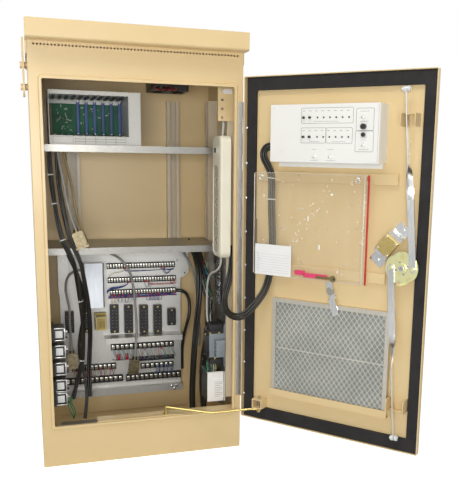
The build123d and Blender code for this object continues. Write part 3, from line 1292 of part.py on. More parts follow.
def police_hinge():
    """Fixed pin and end knuckles of the access door's hinge."""
    out = FLOOR - DOOR_SKIN
    half = POLICE_BARREL
    x, y = HINGE_X - POLICE_S0 + 4, HINGE_Y + out - 4.3
    ends = along_z(1.5, POLICE_MID - half - 12, POLICE_MID + half + 12, x, y)
    low = (POLICE_MID - half - 12, POLICE_MID - half - CLEAR)
    high_end = (POLICE_MID + half + CLEAR, POLICE_MID + half + 12)
    for z0, z1 in (low, high_end):
        knuckle = along_z(3.6, z0, z1, x, y)
        foot = block(x, x + 9, HINGE_Y + out - 2.0, HINGE_Y + out, z0, z1)
        ends = ends + knuckle + foot
    return ends


def lock_cylinder():
    """Key cylinder collar of the main lock on the outside of the door."""
    out = FLOOR - DOOR_SKIN
    collar = leaf_peg(15, out - 6, out, LOCK_S, LOCK_Z)
    collar = chamfer(collar.edges().sort_by(Axis.Y)[0], 2)
    return collar - leaf_block(LOCK_S - 0.9, LOCK_S + 0.9, out - 7, out - 3, LOCK_Z - 6, LOCK_Z + 6)


# Door harness: three cables side by side, which leave the cabinet at the right, loop past the hinge,
# climb the open door behind the pouch and fold back into the side of the switch box

WIRE_D = 7.2
WIRE_PITCH = 8.0


def door_harness_points():
    """Middle cable's points, from inside the cabinet to the switch box."""
    x = inner_x
    free = [(x - 15, 42, high(652)), (x - 15, 44, high(606)), (x - 18, 47, high(568)), (x - 26, 47, high(534)),
            (x - 38, 40, high(502)), (x - 47, 18, high(476)), (x - 48, -12, high(455)), (x - 38, -40, high(444))]
    climb = []
    for s, off, z in ((30, 54, 446), (50, 42, 464), (68, 29, 490), (85, 17, 519), (97, 9.6, 553), (105, 9.2, 594),
                      (110, 9.3, 640), (111, 9.2, 688), (108, 9.3, 736), (105, 9.2, 782), (105, 9.4, 824)):
        px, py, _ = swing_point(s, off)
        climb.append((px, py, high(z)))
    top = []
    for s, off, z in ((105, 9.3, -55), (100, 9.2, -28), (88, 9.4, -8), (76, 9.2, 9), (74, 9.4, 28), (86, 9.3, 42),
                      (104, 9.3, 43), (124.7, 9.3, 43)):
        px, py, _ = swing_point(s + BOX_S0 - 125, off)
        top.append((px, py, BOX_Z0 + z))
    return free + climb + top


def door_wire(k):
    """Points of one of the three cables: -1, 0 or 1 across the harness."""
    points = door_harness_points()
    angle = math.radians(DOOR_OPEN)
    normal = Vector(-math.sin(angle), math.cos(angle), 0)
    wire = []
    for i, point in enumerate(points):
        before = Vector(*points[max(i - 1, 0)])
        after = Vector(*points[min(i + 1, len(points) - 1)])
        aside = (after - before).normalized().cross(normal).normalized()
        wire.append(tuple(Vector(*point) + aside * (k * WIRE_PITCH)))
    return wire


# Write every sub-part

save("cabinet_wrap", cabinet_wrap() + base_flange())
save("door_frame", door_frame(), vent_strip())
save("roof_hood", roof_hood())
save("sill_plate", sill_plate())
save("lifting_ears", lifting_ear(-1), lifting_ear(1))
save("hinge_cabinet_leaf", cabinet_hinge_leaf(), hinge_pin())
left_channels, right_channels, back_channels = wall_channels()
save("wall_channels", *left_channels, *right_channels, *back_channels)
save("upper_shelf", shelf(UPPER_SHELF_Z))
save("lower_shelf", shelf(LOWER_SHELF_Z))
rack_body, rack_blank = rack_case()
save("rack_case", rack_body, rack_blank)
rack_guides, rack_board, rack_connectors = rack_fittings()
save("rack_card_guides", *rack_guides)
save("rack_backplane", rack_board, *rack_connectors)
save("power_strip", power_strip())
save("power_strip_rocker", power_strip_rocker())
save("door_switch_bracket", door_switch_bracket(), door_switch_body())
save("door_switch_plunger", door_switch_plunger())
save("ceiling_plate", ceiling_plate(), thermostat())
save("fan_frame", fan_frame())
save("fan_rotor", fan_rotor())
save("main_panel", main_panel(), guard_box(), terminal_ledge(), side_panel())
save("load_switch_sockets", *load_switch_sockets(), *flash_relay())
terminal_rows = [barrier_strip(x0, x1, z, h, 9.5) for x0, x1, z, h in TERMINAL_ROWS]
barrier_rows = [barrier_strip(x0, x1, z, h, 16) for x0, x1, z, h in BARRIER_ROWS]
save("terminal_strips", *terminal_rows, *barrier_rows, ground_block())
save("wall_relays", *wall_relays())
save("surge_arrester", *surge_arrester())
save("service_box", *breaker_box())
save("left_harness", cord("left main", route(LEFT_MAIN), 18), cord("left second", route(LEFT_SECOND), 13))
grey_routes = [route(points) for points in (GREY_A, GREY_B, GREY_C, GREY_D)]
save("grey_cables", *[cord(f"grey {i + 1}", points, 8) for i, points in enumerate(grey_routes)])
save("connector_hoods", *[hood_on(points) for points in grey_routes[:3]])
save("right_harness", cord("right", route(RIGHT_HARNESS), 26), cord("panel", route(PANEL_CABLE), 12),
     cord("strip in", STRIP_CORD_IN, 7), cord("strip out", STRIP_CORD_OUT, 7))
save("door_harness", *[cord(f"door {i + 1}", door_wire(i - 1), WIRE_D) for i in range(3)])

save_leaf("door_panel", door_panel())
save_leaf("door_hinge_leaf", door_hinge_leaf(), *hinge_nuts())
save_leaf("door_gasket", door_gasket())
save_leaf("switch_box", *switch_box())
for number, (s, z) in enumerate(BUTTONS):
    save_leaf(f"test_button_{number + 1}", push_button(s, z, BUTTON_R, 6.5))
for number, (s, z) in enumerate(TOGGLES):
    save_leaf(f"toggle_{number + 1}", toggle(s, z))
stay_tube, stay_bolt = stay_bracket()
save_leaf("door_rails", *pouch_rails(), filter_channel(), stay_tube)
save_leaf("rod_guides", rod_guide(*GUIDE_UP), rod_guide(*GUIDE_LOW))
save_leaf("door_fittings", stay_bolt, clip_screw(), police_hinge(), lock_cylinder())
save_leaf("document_pouch", pouch(), pouch_zip(), *pouch_rings())
save_leaf("pouch_papers", label_card(), *key_tag())
save_leaf("filter_frame", filter_frame())
save_leaf("filter_media", filter_media())
save_leaf("filter_clip", filter_clip())
save("stay_rod", stay_rod())
save_leaf("lock_bracket", lock_bracket())
save_leaf("lock_case", lock_case())
save_leaf("lock_bolt", lock_bolt())
save_leaf("lock_cam", cam_plate() + handle())
upper_screw = (CAM_S + CRANK_R, CAM_Z)
lower_screw = (CAM_S - CRANK_R, CAM_Z)
save_leaf("upper_rod", lock_rod(upper_screw, UPPER_AXLE))
save_leaf("upper_rollers", *rod_rollers(upper_screw, UPPER_AXLE))
save_leaf("lower_rod", lock_rod(lower_screw, LOWER_AXLE))
save_leaf("lower_rollers", *rod_rollers(lower_screw, LOWER_AXLE))
save_leaf("police_door", police_door())
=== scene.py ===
import math
import random

import bmesh
import bpy
from mathutils import Matrix, Vector


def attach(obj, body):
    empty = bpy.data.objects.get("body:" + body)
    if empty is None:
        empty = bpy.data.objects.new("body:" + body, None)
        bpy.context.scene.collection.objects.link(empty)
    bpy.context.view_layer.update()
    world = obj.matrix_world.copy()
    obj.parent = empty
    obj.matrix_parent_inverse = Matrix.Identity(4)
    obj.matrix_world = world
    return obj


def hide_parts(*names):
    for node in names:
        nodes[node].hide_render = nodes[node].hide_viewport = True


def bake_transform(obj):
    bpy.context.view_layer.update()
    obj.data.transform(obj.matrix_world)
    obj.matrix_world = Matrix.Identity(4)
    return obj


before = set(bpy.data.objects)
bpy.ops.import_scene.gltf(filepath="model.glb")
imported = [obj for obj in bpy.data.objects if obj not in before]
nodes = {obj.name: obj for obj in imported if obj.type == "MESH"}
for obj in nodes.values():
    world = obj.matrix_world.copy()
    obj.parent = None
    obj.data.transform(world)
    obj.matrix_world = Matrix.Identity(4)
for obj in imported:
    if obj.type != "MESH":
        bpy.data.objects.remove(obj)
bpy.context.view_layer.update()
scene = bpy.context.scene
scene.view_settings.view_transform = "Standard"


# Camera: stands about 2.1 m in front of the cabinet and a little to its left, 0.93 m above the
# floor, and looks to the right and slightly down.
camera_data = bpy.data.cameras.new("camera")
camera_data.sensor_width = 36.0
camera_data.lens = 53.78
camera_data.shift_x = -0.079
camera_data.shift_y = 0.1051
camera_data.clip_start = 0.05
camera = bpy.data.objects.new("camera", camera_data)
scene.collection.objects.link(camera)
right = Vector((0.95033, -0.31078, 0.01691)).normalized()
forward = Vector((0.30848, 0.9333, -0.18382)).normalized()
up = right.cross(forward).normalized()
right = forward.cross(up).normalized()
view = Matrix((right, up, -forward)).transposed().to_4x4()
view.translation = Vector((-0.3119, -2.3386, 0.9304))
camera.matrix_world = view
scene.camera = camera


# Studio: a white room that the camera, polished metal and clear vinyl see, a dimmer soft
# light from all round, and three soft lamps.
def add_node(tree, kind, inputs=None, operation=None):
    """A new shader node; each input is set to a value or linked to another node's output."""
    made = tree.nodes.new("ShaderNode" + kind)
    if operation:
        made.operation = operation
    for socket, value in (inputs or {}).items():
        if isinstance(value, bpy.types.NodeSocket):
            tree.links.new(value, made.inputs[socket])
        else:
            made.inputs[socket].default_value = value
    return made


def studio_world(ambient):
    world = bpy.data.worlds.new("studio")
    scene.world = world
    world.use_nodes = True
    tree = world.node_tree
    tree.nodes.clear()
    seen = add_node(tree, "Background", {"Color": (1, 1, 1, 1), "Strength": 1.0})
    light = add_node(tree, "Background", {"Color": (0.96, 0.98, 1.0, 1), "Strength": ambient})
    path = add_node(tree, "LightPath").outputs
    sight = add_node(tree, "Math", {0: path["Is Camera Ray"], 1: path["Is Transmission Ray"]}, "MAXIMUM")
    shine = add_node(tree, "Math", {0: sight.outputs[0], 1: path["Is Glossy Ray"]}, "MAXIMUM")
    mix = add_node(tree, "MixShader", {0: shine.outputs[0], 1: light.outputs[0], 2: seen.outputs[0]})
    add_node(tree, "OutputWorld", {0: mix.outputs[0]})


def soft_lamp(name, place, target, size, watts, colour=(1, 1, 1)):
    data = bpy.data.lights.new(name, "AREA")
    data.shape = "RECTANGLE"
    data.size, data.size_y = size
    data.energy = watts
    data.color = colour
    lamp = bpy.data.objects.new(name, data)
    scene.collection.objects.link(lamp)
    aim = (Vector(target) - Vector(place)).to_track_quat("-Z", "Y")
    lamp.matrix_world = Matrix.Translation(place) @ aim.to_matrix().to_4x4()
    lamp.visible_camera = False


studio_world(0.36)
soft_lamp("ceiling_lamp", (-0.45, -1.3, 2.9), (0.0, -0.3, 0.5), (2.6, 0.6), 26.0, (1.0, 0.99, 0.96))
soft_lamp("front_lamp", (-0.6, -3.0, 0.95), (0.1, 0.0, 0.6), (1.1, 0.7), 37.0)
soft_lamp("side_lamp", (2.6, -2.2, 1.6), (0.2, -0.1, 0.6), (1.4, 1.8), 8.0)


# Floor: one white sheet, swept large enough to fill every view, that keeps only a soft shadow,
# and under the cabinet's open bottom a dark tan sheet, its colour painted shade, lit only by what falls in.
def white_floor_paint():
    mat = bpy.data.materials.new("white_floor")
    mat.use_nodes = True
    tree = mat.node_tree
    tree.nodes.clear()
    matt = add_node(tree, "BsdfDiffuse", {"Color": (0.8, 0.8, 0.8, 1)})
    seen = add_node(tree, "LightPath").outputs["Is Camera Ray"]
    share = add_node(tree, "Math", {0: seen, 1: 0.8}, "MULTIPLY")
    glow = add_node(tree, "Emission", {"Color": (1, 1, 1, 1), "Strength": share.outputs[0]})
    both = add_node(tree, "AddShader", {0: matt.outputs[0], 1: glow.outputs[0]})
    add_node(tree, "OutputMaterial", {0: both.outputs[0]})
    return mat


def floor_paint_painted_shade():
    mat = bpy.data.materials.new("floor_painted_shade")
    mat.use_nodes = True
    shader = mat.node_tree.nodes["Principled BSDF"]
    # Dark tan colour: painted shade of the floor under the cabinet.
    shader.inputs["Base Color"].default_value = (0.36, 0.33, 0.28, 1)
    shader.inputs["Roughness"].default_value = 0.9
    return mat


def floor_sheet(name, wide, deep, below, paint):
    mesh = bpy.data.meshes.new(name)
    bm = bmesh.new()
    bmesh.ops.create_grid(bm, x_segments=2, y_segments=2, size=0.5)
    bmesh.ops.scale(bm, verts=bm.verts, vec=(wide, deep, 1))
    bmesh.ops.translate(bm, verts=bm.verts, vec=(0, 0, -below))
    bm.to_mesh(mesh)
    bm.free()
    mesh.materials.append(paint)
    sheet = bpy.data.objects.new(name, mesh)
    scene.collection.objects.link(sheet)


floor_sheet("floor", 18.0, 18.0, 0.0005, white_floor_paint())
floor_sheet("floor_inside", 0.598, 0.42, 0.0002, floor_paint_painted_shade())


# Cabinet shell: 3 mm sheet, folded and welded, then powder coated beige inside and out with a
# glossy, slightly orange-peeled finish. The hood, sill, doors and small brackets match.
def finish_nodes(name, rough, metallic):
    """A new material, its tree, its shader and its object coordinates."""
    mat = bpy.data.materials.new(name)
    mat.use_nodes = True
    tree = mat.node_tree
    shader = tree.nodes["Principled BSDF"]
    shader.inputs["Roughness"].default_value = rough
    shader.inputs["Metallic"].default_value = metallic
    return mat, tree, shader, add_node(tree, "TexCoord").outputs["Object"]


def noise(tree, where, scale, detail=2.0, stretch=(1, 1, 1)):
    """A noise over the piece; stretch draws it out along an axis, as brushing or rolling does."""
    mapped = add_node(tree, "Mapping", {"Vector": where, "Scale": stretch}).outputs[0]
    return add_node(tree, "TexNoise", {"Vector": mapped, "Scale": scale, "Detail": detail}).outputs["Fac"]


def colour_by(tree, shader, value, stops, socket="Base Color"):
    """Feeds a socket by a noise value, through a ramp of (position, colour) stops."""
    ramp = add_node(tree, "ValToRGB", {0: value})
    elements = ramp.color_ramp.elements
    while len(elements) < len(stops):
        elements.new(0.5)
    for element, (position, colour) in zip(elements, stops):
        element.position = position
        element.color = (*colour, 1)
    tree.links.new(ramp.outputs[0], shader.inputs[socket])


def rough_by(tree, shader, value, low, high):
    span = add_node(tree, "MapRange", {"Value": value, "To Min": low, "To Max": high})
    tree.links.new(span.outputs[0], shader.inputs["Roughness"])


def bump_by(tree, shader, value, strength, depth=0.001):
    bump = add_node(tree, "Bump", {"Height": value, "Strength": strength, "Distance": depth})
    tree.links.new(bump.outputs[0], shader.inputs["Normal"])


def powder_coat(name, colour, deeper, rough=0.36):
    mat, tree, shader, where = finish_nodes(name, rough, 0.0)
    blotch = noise(tree, where, 3.2, 3.0)
    colour_by(tree, shader, blotch, [(0.35, deeper), (0.65, colour)])
    rough_by(tree, shader, noise(tree, where, 14.0, 4.0), rough - 0.05, rough + 0.09)
    bump_by(tree, shader, noise(tree, where, 260.0, 2.0), 0.1, 0.0006)
    shader.inputs["Coat Weight"].default_value = 0.08
    shader.inputs["Coat Roughness"].default_value = 0.12
    return mat


beige = powder_coat("beige_powder_coat", (0.735, 0.56, 0.295), (0.7, 0.525, 0.268))
# The inside takes a darker, greyer copy of the outside beige: painted shade of the cabinet's dim inside.
beige_inside_painted_shade = powder_coat("beige_coat_inside_painted_shade", (0.625, 0.53, 0.38), (0.59, 0.496, 0.35), 0.3)


def dress(node, *finishes):
    """Gives a CAD piece its finishes, the first of them all over."""
    mesh = nodes[node].data
    mesh.materials.clear()
    for finish in finishes:
        mesh.materials.append(finish)


def dress_where(node, index, test):
    """Gives the faces of a CAD piece whose centre passes the test one of its other finishes."""
    for face in nodes[node].data.polygons:
        if test(face.center):
            face.material_index = index


def dress_all(finish, *parts):
    for part in parts:
        dress(part, finish)


dress_all(beige, "roof_hood", "door_frame", "sill_plate", "door_panel", "door_rails", "police_door",
          "rod_guides", "door_switch_bracket", "lifting_ears")
dress("cabinet_wrap", beige, beige_inside_painted_shade)
dress("wall_channels", beige_inside_painted_shade)


# Bare and plated metal: aluminium sheet rolled and brushed along its length, zinc plated and
# yellow passivated steel, stainless hinge, brass.
def drawn_metal(name, colour, deeper, rough, scale=60.0, stretch=(4.0, 4.0, 4.0)):
    mat, tree, shader, where = finish_nodes(name, rough, 1.0)
    lines = noise(tree, where, scale, 3.0, stretch)
    colour_by(tree, shader, lines, [(0.3, deeper), (0.7, colour)])
    rough_by(tree, shader, noise(tree, where, 9.0, 3.0), rough - 0.07, rough + 0.1)
    bump_by(tree, shader, lines, 0.05, 0.0004)
    return mat


def passivated(name):
    """Yellow zinc: gold with green and pink bloom."""
    mat, tree, shader, where = finish_nodes(name, 0.3, 1.0)
    bloom = noise(tree, where, 42.0, 2.0)
    colour_by(tree, shader, bloom, [(0.3, (0.88, 0.8, 0.36)), (0.45, (0.94, 0.9, 0.5)),
                                    (0.58, (0.86, 0.88, 0.5)), (0.72, (0.86, 0.66, 0.4))])
    rough_by(tree, shader, noise(tree, where, 120.0, 2.0), 0.22, 0.4)
    return mat


UPRIGHT = (10.0, 10.0, 1.0)
aluminium = drawn_metal("rolled_aluminium", (0.37, 0.36, 0.33), (0.26, 0.255, 0.235), 0.36,
                        stretch=(1.0, 12.0, 12.0))
panel_aluminium = drawn_metal("panel_aluminium", (0.62, 0.61, 0.58), (0.53, 0.52, 0.49), 0.46,
                              stretch=UPRIGHT)
champagne = drawn_metal("champagne_aluminium", (0.74, 0.7, 0.62), (0.62, 0.58, 0.5), 0.38, stretch=UPRIGHT)
stainless = drawn_metal("stainless", (0.6, 0.59, 0.57), (0.42, 0.41, 0.39), 0.3, stretch=UPRIGHT)
zinc = drawn_metal("bright_zinc", (0.9, 0.9, 0.88), (0.76, 0.77, 0.77), 0.24, 30.0, (6.0, 6.0, 1.0))
brass = drawn_metal("brass", (0.72, 0.56, 0.22), (0.56, 0.42, 0.15), 0.32, 50.0)
steel_bolt = drawn_metal("bolt_steel", (0.55, 0.53, 0.5), (0.38, 0.36, 0.33), 0.34, 90.0)
yellow_zinc = passivated("yellow_zinc")
stay_gold = drawn_metal("gold_zinc", (0.66, 0.52, 0.2), (0.5, 0.38, 0.13), 0.3, 30.0)

dress_all(aluminium, "upper_shelf", "lower_shelf")
dress_all(zinc, "filter_clip", "lock_bracket", "lock_bolt", "upper_rod", "lower_rod")
dress_all(stainless, "hinge_cabinet_leaf", "door_hinge_leaf")
dress("door_fittings", steel_bolt)
dress("lock_case", brass, zinc)
dress("lock_cam", yellow_zinc)
dress("stay_rod", stay_gold)


# Mouldings, foam, paint and paper: ivory outlet strip, white nylon rollers, black phenolic sockets
# and strips, the gasket's foam, the switch box's paint and white card.
def moulded(name, colour, deeper, rough, grain=420.0, bump=0.08):
    mat, tree, shader, where = finish_nodes(name, rough, 0.0)
    colour_by(tree, shader, noise(tree, where, 16.0, 3.0), [(0.35, deeper), (0.65, colour)])
    rough_by(tree, shader, noise(tree, where, 60.0, 2.0), rough - 0.06, rough + 0.08)
    bump_by(tree, shader, noise(tree, where, grain, 2.0), bump, 0.0004)
    return mat


ivory = moulded("ivory_moulding", (0.8, 0.755, 0.615), (0.76, 0.712, 0.57), 0.42)
nylon = moulded("white_nylon", (0.74, 0.75, 0.74), (0.66, 0.67, 0.66), 0.45)
black_moulding = moulded("black_moulding", (0.022, 0.021, 0.02), (0.014, 0.013, 0.013), 0.38)
foam = moulded("gasket_foam", (0.018, 0.016, 0.016), (0.01, 0.009, 0.009), 0.85, 700.0, 0.45)
box_white = powder_coat("switch_box_paint", (0.83, 0.82, 0.78), (0.8, 0.79, 0.745), 0.4)
paper = moulded("card_paper", (0.86, 0.855, 0.83), (0.83, 0.825, 0.8), 0.8)


# Card rack: a white folded case on the upper shelf, with a green backplane board whose blue
# connectors take the cards, a notched rail above them and a label band with bare cells below.
CABINET = Matrix.Translation((0, -0.216, 0)) @ Matrix.Diagonal((0.001, 0.001, 0.001, 1))


def faces_to(verts, finish):
    """Gives the faces of a new shape the finish of a slot."""
    for face in {face for vert in verts for face in vert.link_faces}:
        face.material_index = finish


def ease(bm, verts, reach, segments=2):
    """Rounds the edges of a new block."""
    bmesh.ops.bevel(bm, geom=list({line for vert in verts for line in vert.link_edges}), offset=reach,
                    offset_type="OFFSET", affect="EDGES", segments=segments, profile=0.5, material=-1)


def verts_in(geometry):
    return [item for item in geometry if isinstance(item, bmesh.types.BMVert)]


def bar(bm, x0, x1, y0, y1, z0, z1, finish=0, edge=0.0):
    """A block between two corners, its edges eased, in the finish of the given slot."""
    made = bmesh.ops.create_cube(bm, size=1.0)["verts"]
    bmesh.ops.scale(bm, vec=(x1 - x0, y1 - y0, z1 - z0), verts=made)
    bmesh.ops.translate(bm, vec=((x0 + x1) / 2, (y0 + y1) / 2, (z0 + z1) / 2), verts=made)
    faces_to(made, finish)
    if edge:
        ease(bm, made, edge)


def rim(bm, x0, x1, z0, z1, faces, line, corners=(0, 0), edge=0.0):
    """Four bars round a window; corners takes its rows, then its columns, back from the ends."""
    row, column = corners
    for low, top in ((z0, z0 + line), (z1 - line, z1)):
        bar(bm, x0 + row, x1 - row, *faces, low, top, 0, edge)
    for left, right in ((x0, x0 + line), (x1 - line, x1)):
        bar(bm, left, right, *faces, z0 + column, z1 - column, 0, edge)


def stud(bm, x, z, y0, y1, radius, finish=0, sides=12, top=1.0):
    """A round stud along y; top narrows its end at y0."""
    turn = Matrix.Translation((x, (y0 + y1) / 2, z)) @ Matrix.Rotation(math.radians(90), 4, "X")
    made = bmesh.ops.create_cone(bm, cap_ends=True, segments=sides, radius1=radius,
                                 radius2=radius * top, depth=abs(y1 - y0), matrix=turn)["verts"]
    faces_to(made, finish)


def add_piece(name, mesh, body):
    """Makes a mesh a smooth piece that rides on its body."""
    for face in mesh.polygons:
        face.use_smooth = True
    made = bpy.data.objects.new(name, mesh)
    scene.collection.objects.link(made)
    if body:
        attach(made, body)
    return made


def fit(name, bm, body, place, slot, *finishes):
    """Makes a mesh modelled in millimetres a piece in its place, sharp at its corners."""
    bm.transform(place)
    bmesh.ops.recalc_face_normals(bm, faces=bm.faces[:])
    mesh = bpy.data.meshes.new(name)
    bm.to_mesh(mesh)
    bm.free()
    for finish in finishes:
        mesh.materials.append(finish)
    made = add_piece(name, mesh, body)
    mesh.set_sharp_from_angle(angle=math.radians(35))
    return made


def piece(body, place, slot, *finishes):
    """Has the function below model its shape in an empty mesh; the piece takes its name."""
    def make(model):
        bm = bmesh.new()
        model(bm)
        return fit(model.__name__, bm, body, place, slot, *finishes)
    return make


rack_white = powder_coat("rack_white_paint", (0.64, 0.635, 0.59), (0.6, 0.595, 0.55), 0.42)
board_green = moulded("board_green", (0.01, 0.15, 0.06), (0.005, 0.08, 0.03), 0.62, 90.0, 0.3)
connector_blue = moulded("connector_blue", (0.045, 0.12, 0.4), (0.035, 0.09, 0.3), 0.55)
board_edge = moulded("board_edge_tan", (0.33, 0.24, 0.15), (0.27, 0.19, 0.12), 0.55)
part_grey = moulded("board_parts", (0.52, 0.56, 0.5), (0.3, 0.34, 0.3), 0.45)
line_grey = moulded("printed_line", (0.3, 0.3, 0.29), (0.26, 0.26, 0.25), 0.7)
dress("rack_case", rack_white)
dress("rack_card_guides", black_moulding)

RACK_LEFT = -250.0
RACK_BACK = 348.0
BAND_LINE = 162.7, 163.05
SLOT_X = [-153.5 + 26.6 * number for number in range(6)]


@piece("cabinet", CABINET, "green_board", board_green, connector_blue, black_moulding, steel_bolt)
def backplane(bm):
    """Green board with six blue connectors, each with a thin black strip down it for its slot, painted shade.
    """
    bar(bm, RACK_LEFT + 3, -17, RACK_BACK, RACK_BACK + 2, 984, 1101, 0)
    for x in SLOT_X:
        bar(bm, x - 5, x + 5, RACK_BACK - 10, RACK_BACK, 991, 1094, 1, 1.2)
        # Black strip on the connector's face: painted shade of its card slot.
        bar(bm, x - 1.2, x + 1.2, RACK_BACK - 10.3, RACK_BACK - 9.8, 996, 1089, 2)
        for z in (993, 1092):
            stud(bm, x, z, RACK_BACK - 10.6, RACK_BACK - 9.6, 1.6, 3, 10)


@piece("cabinet", CABINET, "white_paint", rack_white, board_edge, part_grey)
def rack_rail_and_parts(bm):
    """Notched rail over the connectors, tan edge strip and the small parts on the board."""
    places = [RACK_LEFT + 5] + [x + side for x in SLOT_X for side in (-5, 5)] + [-16.0]
    for x0, x1 in zip(places[::2], places[1::2]):
        if x1 > x0:
            bar(bm, x0, x1, 336, 340, 1086, 1100, 0, 0.6)
    bar(bm, RACK_LEFT + 5, -16, 338, 341, 1094, 1102, 0, 0.6)
    bar(bm, RACK_LEFT + 9, RACK_LEFT + 15, 341, 347.5, 985, 1082, 1, 0.6)
    draw = random.Random(7)
    for number in range(34):
        x = draw.uniform(-222, -172) if number < 22 else draw.choice(SLOT_X[1:]) - draw.uniform(9, 19)
        z = draw.uniform(992, 1078)
        wide, tall = draw.choice(((3, 7), (7, 3), (2.4, 2.4), (9, 4)))
        bar(bm, x, x + wide, 345.5, RACK_BACK - 0.1, z, z + tall, 2, 0.3)


@piece("cabinet", CABINET, "white_paint", line_grey)
def rack_label_cells(bm):
    """Raised lines of the bare label cells on the band."""
    rim(bm, -240, -180, 959, 979, BAND_LINE, 0.9)
    for column in range(5):
        for row in range(3):
            x = -175 + column * 30.4
            rim(bm, x, x + 30.4, 957.5 + row * 7.6, 965.1 + row * 7.6, BAND_LINE, 0.7)


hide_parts("rack_backplane")


# Fan and thermostat under the ceiling: a black axial fan in its square frame, and the
# thermostat's dark block with its short red and black leads clipped along it.
def line_of(points, place=CABINET):
    return [place @ Vector(point) for point in points]


def curve_mesh(name, lines, resolution, radius=0.0, sides=3, finishes=(), choices=None, closed=False):
    """A mesh of the smooth lines, as round leads where they have a radius."""
    data = bpy.data.curves.new(name, "CURVE")
    data.dimensions = "3D"
    data.resolution_u = resolution
    data.bevel_depth = radius
    data.bevel_resolution = sides
    data.use_fill_caps = True
    for finish in finishes:
        data.materials.append(finish)
    for number, line in enumerate(lines):
        spline = data.splines.new("NURBS")
        spline.points.add(len(line) - 1)
        for point, place in zip(spline.points, line):
            point.co = (*place, 1)
        spline.order_u = 3
        if closed:
            spline.use_cyclic_u = True
        else:
            spline.use_endpoint_u = True
        if choices:
            spline.material_index = choices[number]
    source = bpy.data.objects.new(name + "_route", data)
    mesh = bpy.data.meshes.new_from_object(source)
    mesh.name = name
    bpy.data.objects.remove(source)
    bpy.data.curves.remove(data)
    return mesh


def cable(name, lines, diameter, body, slot, *finishes, choices=None, closed=False, sides=3):
    """Round leads along smooth lines; choices gives each lead its finish."""
    mesh = curve_mesh(name, lines, 6, diameter / 2, sides, finishes, choices, closed)
    return add_piece(name, mesh, body)


wire_red = moulded("wire_red", (0.56, 0.025, 0.035), (0.44, 0.015, 0.025), 0.38)
wire_black = moulded("wire_black", (0.02, 0.02, 0.02), (0.012, 0.012, 0.012), 0.38)
dress_all(black_moulding, "fan_frame", "fan_rotor")
dress("ceiling_plate", beige_inside_painted_shade, black_moulding)
dress_where("ceiling_plate", 1, lambda centre: centre.z < 1.1695 and abs(centre.x - 0.094) < 0.03)


def thermostat_leads():
    lines = []
    for number in range(7):
        x = 72 + number * 9
        lines.append(line_of([(x, 200, 1141), (x + 2, 186, 1131), (x + 9, 178, 1129), (x + 15, 190, 1134),
                              (x + 18, 214, 1139)]))
    cable("thermostat_leads", lines, 0.0032, "cabinet", "black_plastic", wire_red, wire_black,
          choices=[0, 1, 0, 1, 0, 1, 0])


thermostat_leads()


# Door switches and outlet strip: a beige angle bracket with a white push plunger, a bare white
# label beside it, and below it a moulded ivory outlet strip with four round outlets.
outlet_grey = moulded("outlet_face", (0.47, 0.43, 0.33), (0.43, 0.392, 0.3), 0.45)
dress("power_strip", ivory, outlet_grey, black_moulding)
dress_where("power_strip", 1, lambda centre: abs(centre.x - 0.2405) < 0.0003)
dress_where("power_strip", 2, lambda centre: centre.x > 0.2408 and 0.019 > centre.x - 0.23 and
            -0.161 < centre.y < -0.134 and 0.65 < centre.z < 0.96)
dress("power_strip_rocker", black_moulding)
dress("door_switch_plunger", nylon)


def ring_of(x, y, z, radius, count=10):
    """Points of a ring that stands across x."""
    turn = math.tau / count
    return [(x, y + radius * math.cos(turn * k), z + radius * math.sin(turn * k)) for k in range(count)]


cable("outlet_rims", [line_of(ring_of(240.5, 66, 668 + 60 * number, 18)) for number in range(4)], 0.0012,
      "cabinet", "ivory_plastic", ivory, closed=True)


@piece("cabinet", CABINET, "paper", paper, line_grey)
def bracket_label(bm):
    bar(bm, 259, 284, 49.5, 49.98, 1115, 1128, 0, 0.1)
    for z in (1119, 1124):
        bar(bm, 263, 280, 49.42, 49.52, z, z + 0.8, 1)


# Main panel: folded aluminium sheet on the back channels, with a bright three-sided guard box
# and a ledge riveted to it, and bolts through its front lip.
mirror_steel = drawn_metal("bright_guard_sheet", (0.86, 0.88, 0.9), (0.74, 0.78, 0.84), 0.16, 18.0,
                           (14.0, 14.0, 1.0))
dress("main_panel", panel_aluminium, mirror_steel, aluminium)
dress_where("main_panel", 1, lambda centre: -0.154 < centre.x < -0.083 and 0.41 < centre.z < 0.566 and
            centre.y < 0.1795)
dress_where("main_panel", 2, lambda centre: centre.x > 0.269)
PANEL, GUARD_BOX = 396.0, 374.0
SCREW = 3.6, 0, 14, 0.6


@piece("cabinet", CABINET, "zinc", zinc)
def panel_bolts(bm):
    for x, z in ((152, 101), (168, 101), (161, 90)):
        stud(bm, x, z, 365.6, 368, 4.6, 0, 6)
        stud(bm, x, z, 363.6, 365.6, 2.6, 0, 10)
    for x, z in ((-212, 574), (-212, 470)):
        stud(bm, x, z, GUARD_BOX - 1.5, GUARD_BOX, *SCREW)
    for x, z in ((-66, 560), (180, 560), (130, 588), (-212, 250), (206, 580), (206, 512)):
        stud(bm, x, z, PANEL - 2.4, PANEL, *SCREW)


# Load switch sockets: black phenolic blocks with two rows of slots, each held by a brass screw at
# its top and bottom, and an amber plug-in relay with a clear-edged cover on its own base.
amber = moulded("amber_cover", (0.56, 0.42, 0.11), (0.42, 0.3, 0.07), 0.18, 60.0, 0.02)
amber_rim = moulded("amber_rim", (0.78, 0.69, 0.33), (0.64, 0.54, 0.24), 0.25)
amber_coil = moulded("amber_coil", (0.2, 0.13, 0.04), (0.15, 0.095, 0.03), 0.4)
slot_metal = drawn_metal("socket_contacts", (0.34, 0.33, 0.3), (0.2, 0.19, 0.18), 0.4)
dress("load_switch_sockets", black_moulding, amber)
dress_where("load_switch_sockets", 1, lambda centre: -0.1145 < centre.x < -0.0775 and
            0.327 < centre.z < 0.377 and centre.y < 0.1665)
NARROW_SOCKET_X = -143
SOCKETS = ((-47.5, 359, 102), (2, 356, 102), (56, 353, 102), (105, 351, 102), (155.5, 356, 62),
           (-200, 356, 76), (NARROW_SOCKET_X, 354, 76))


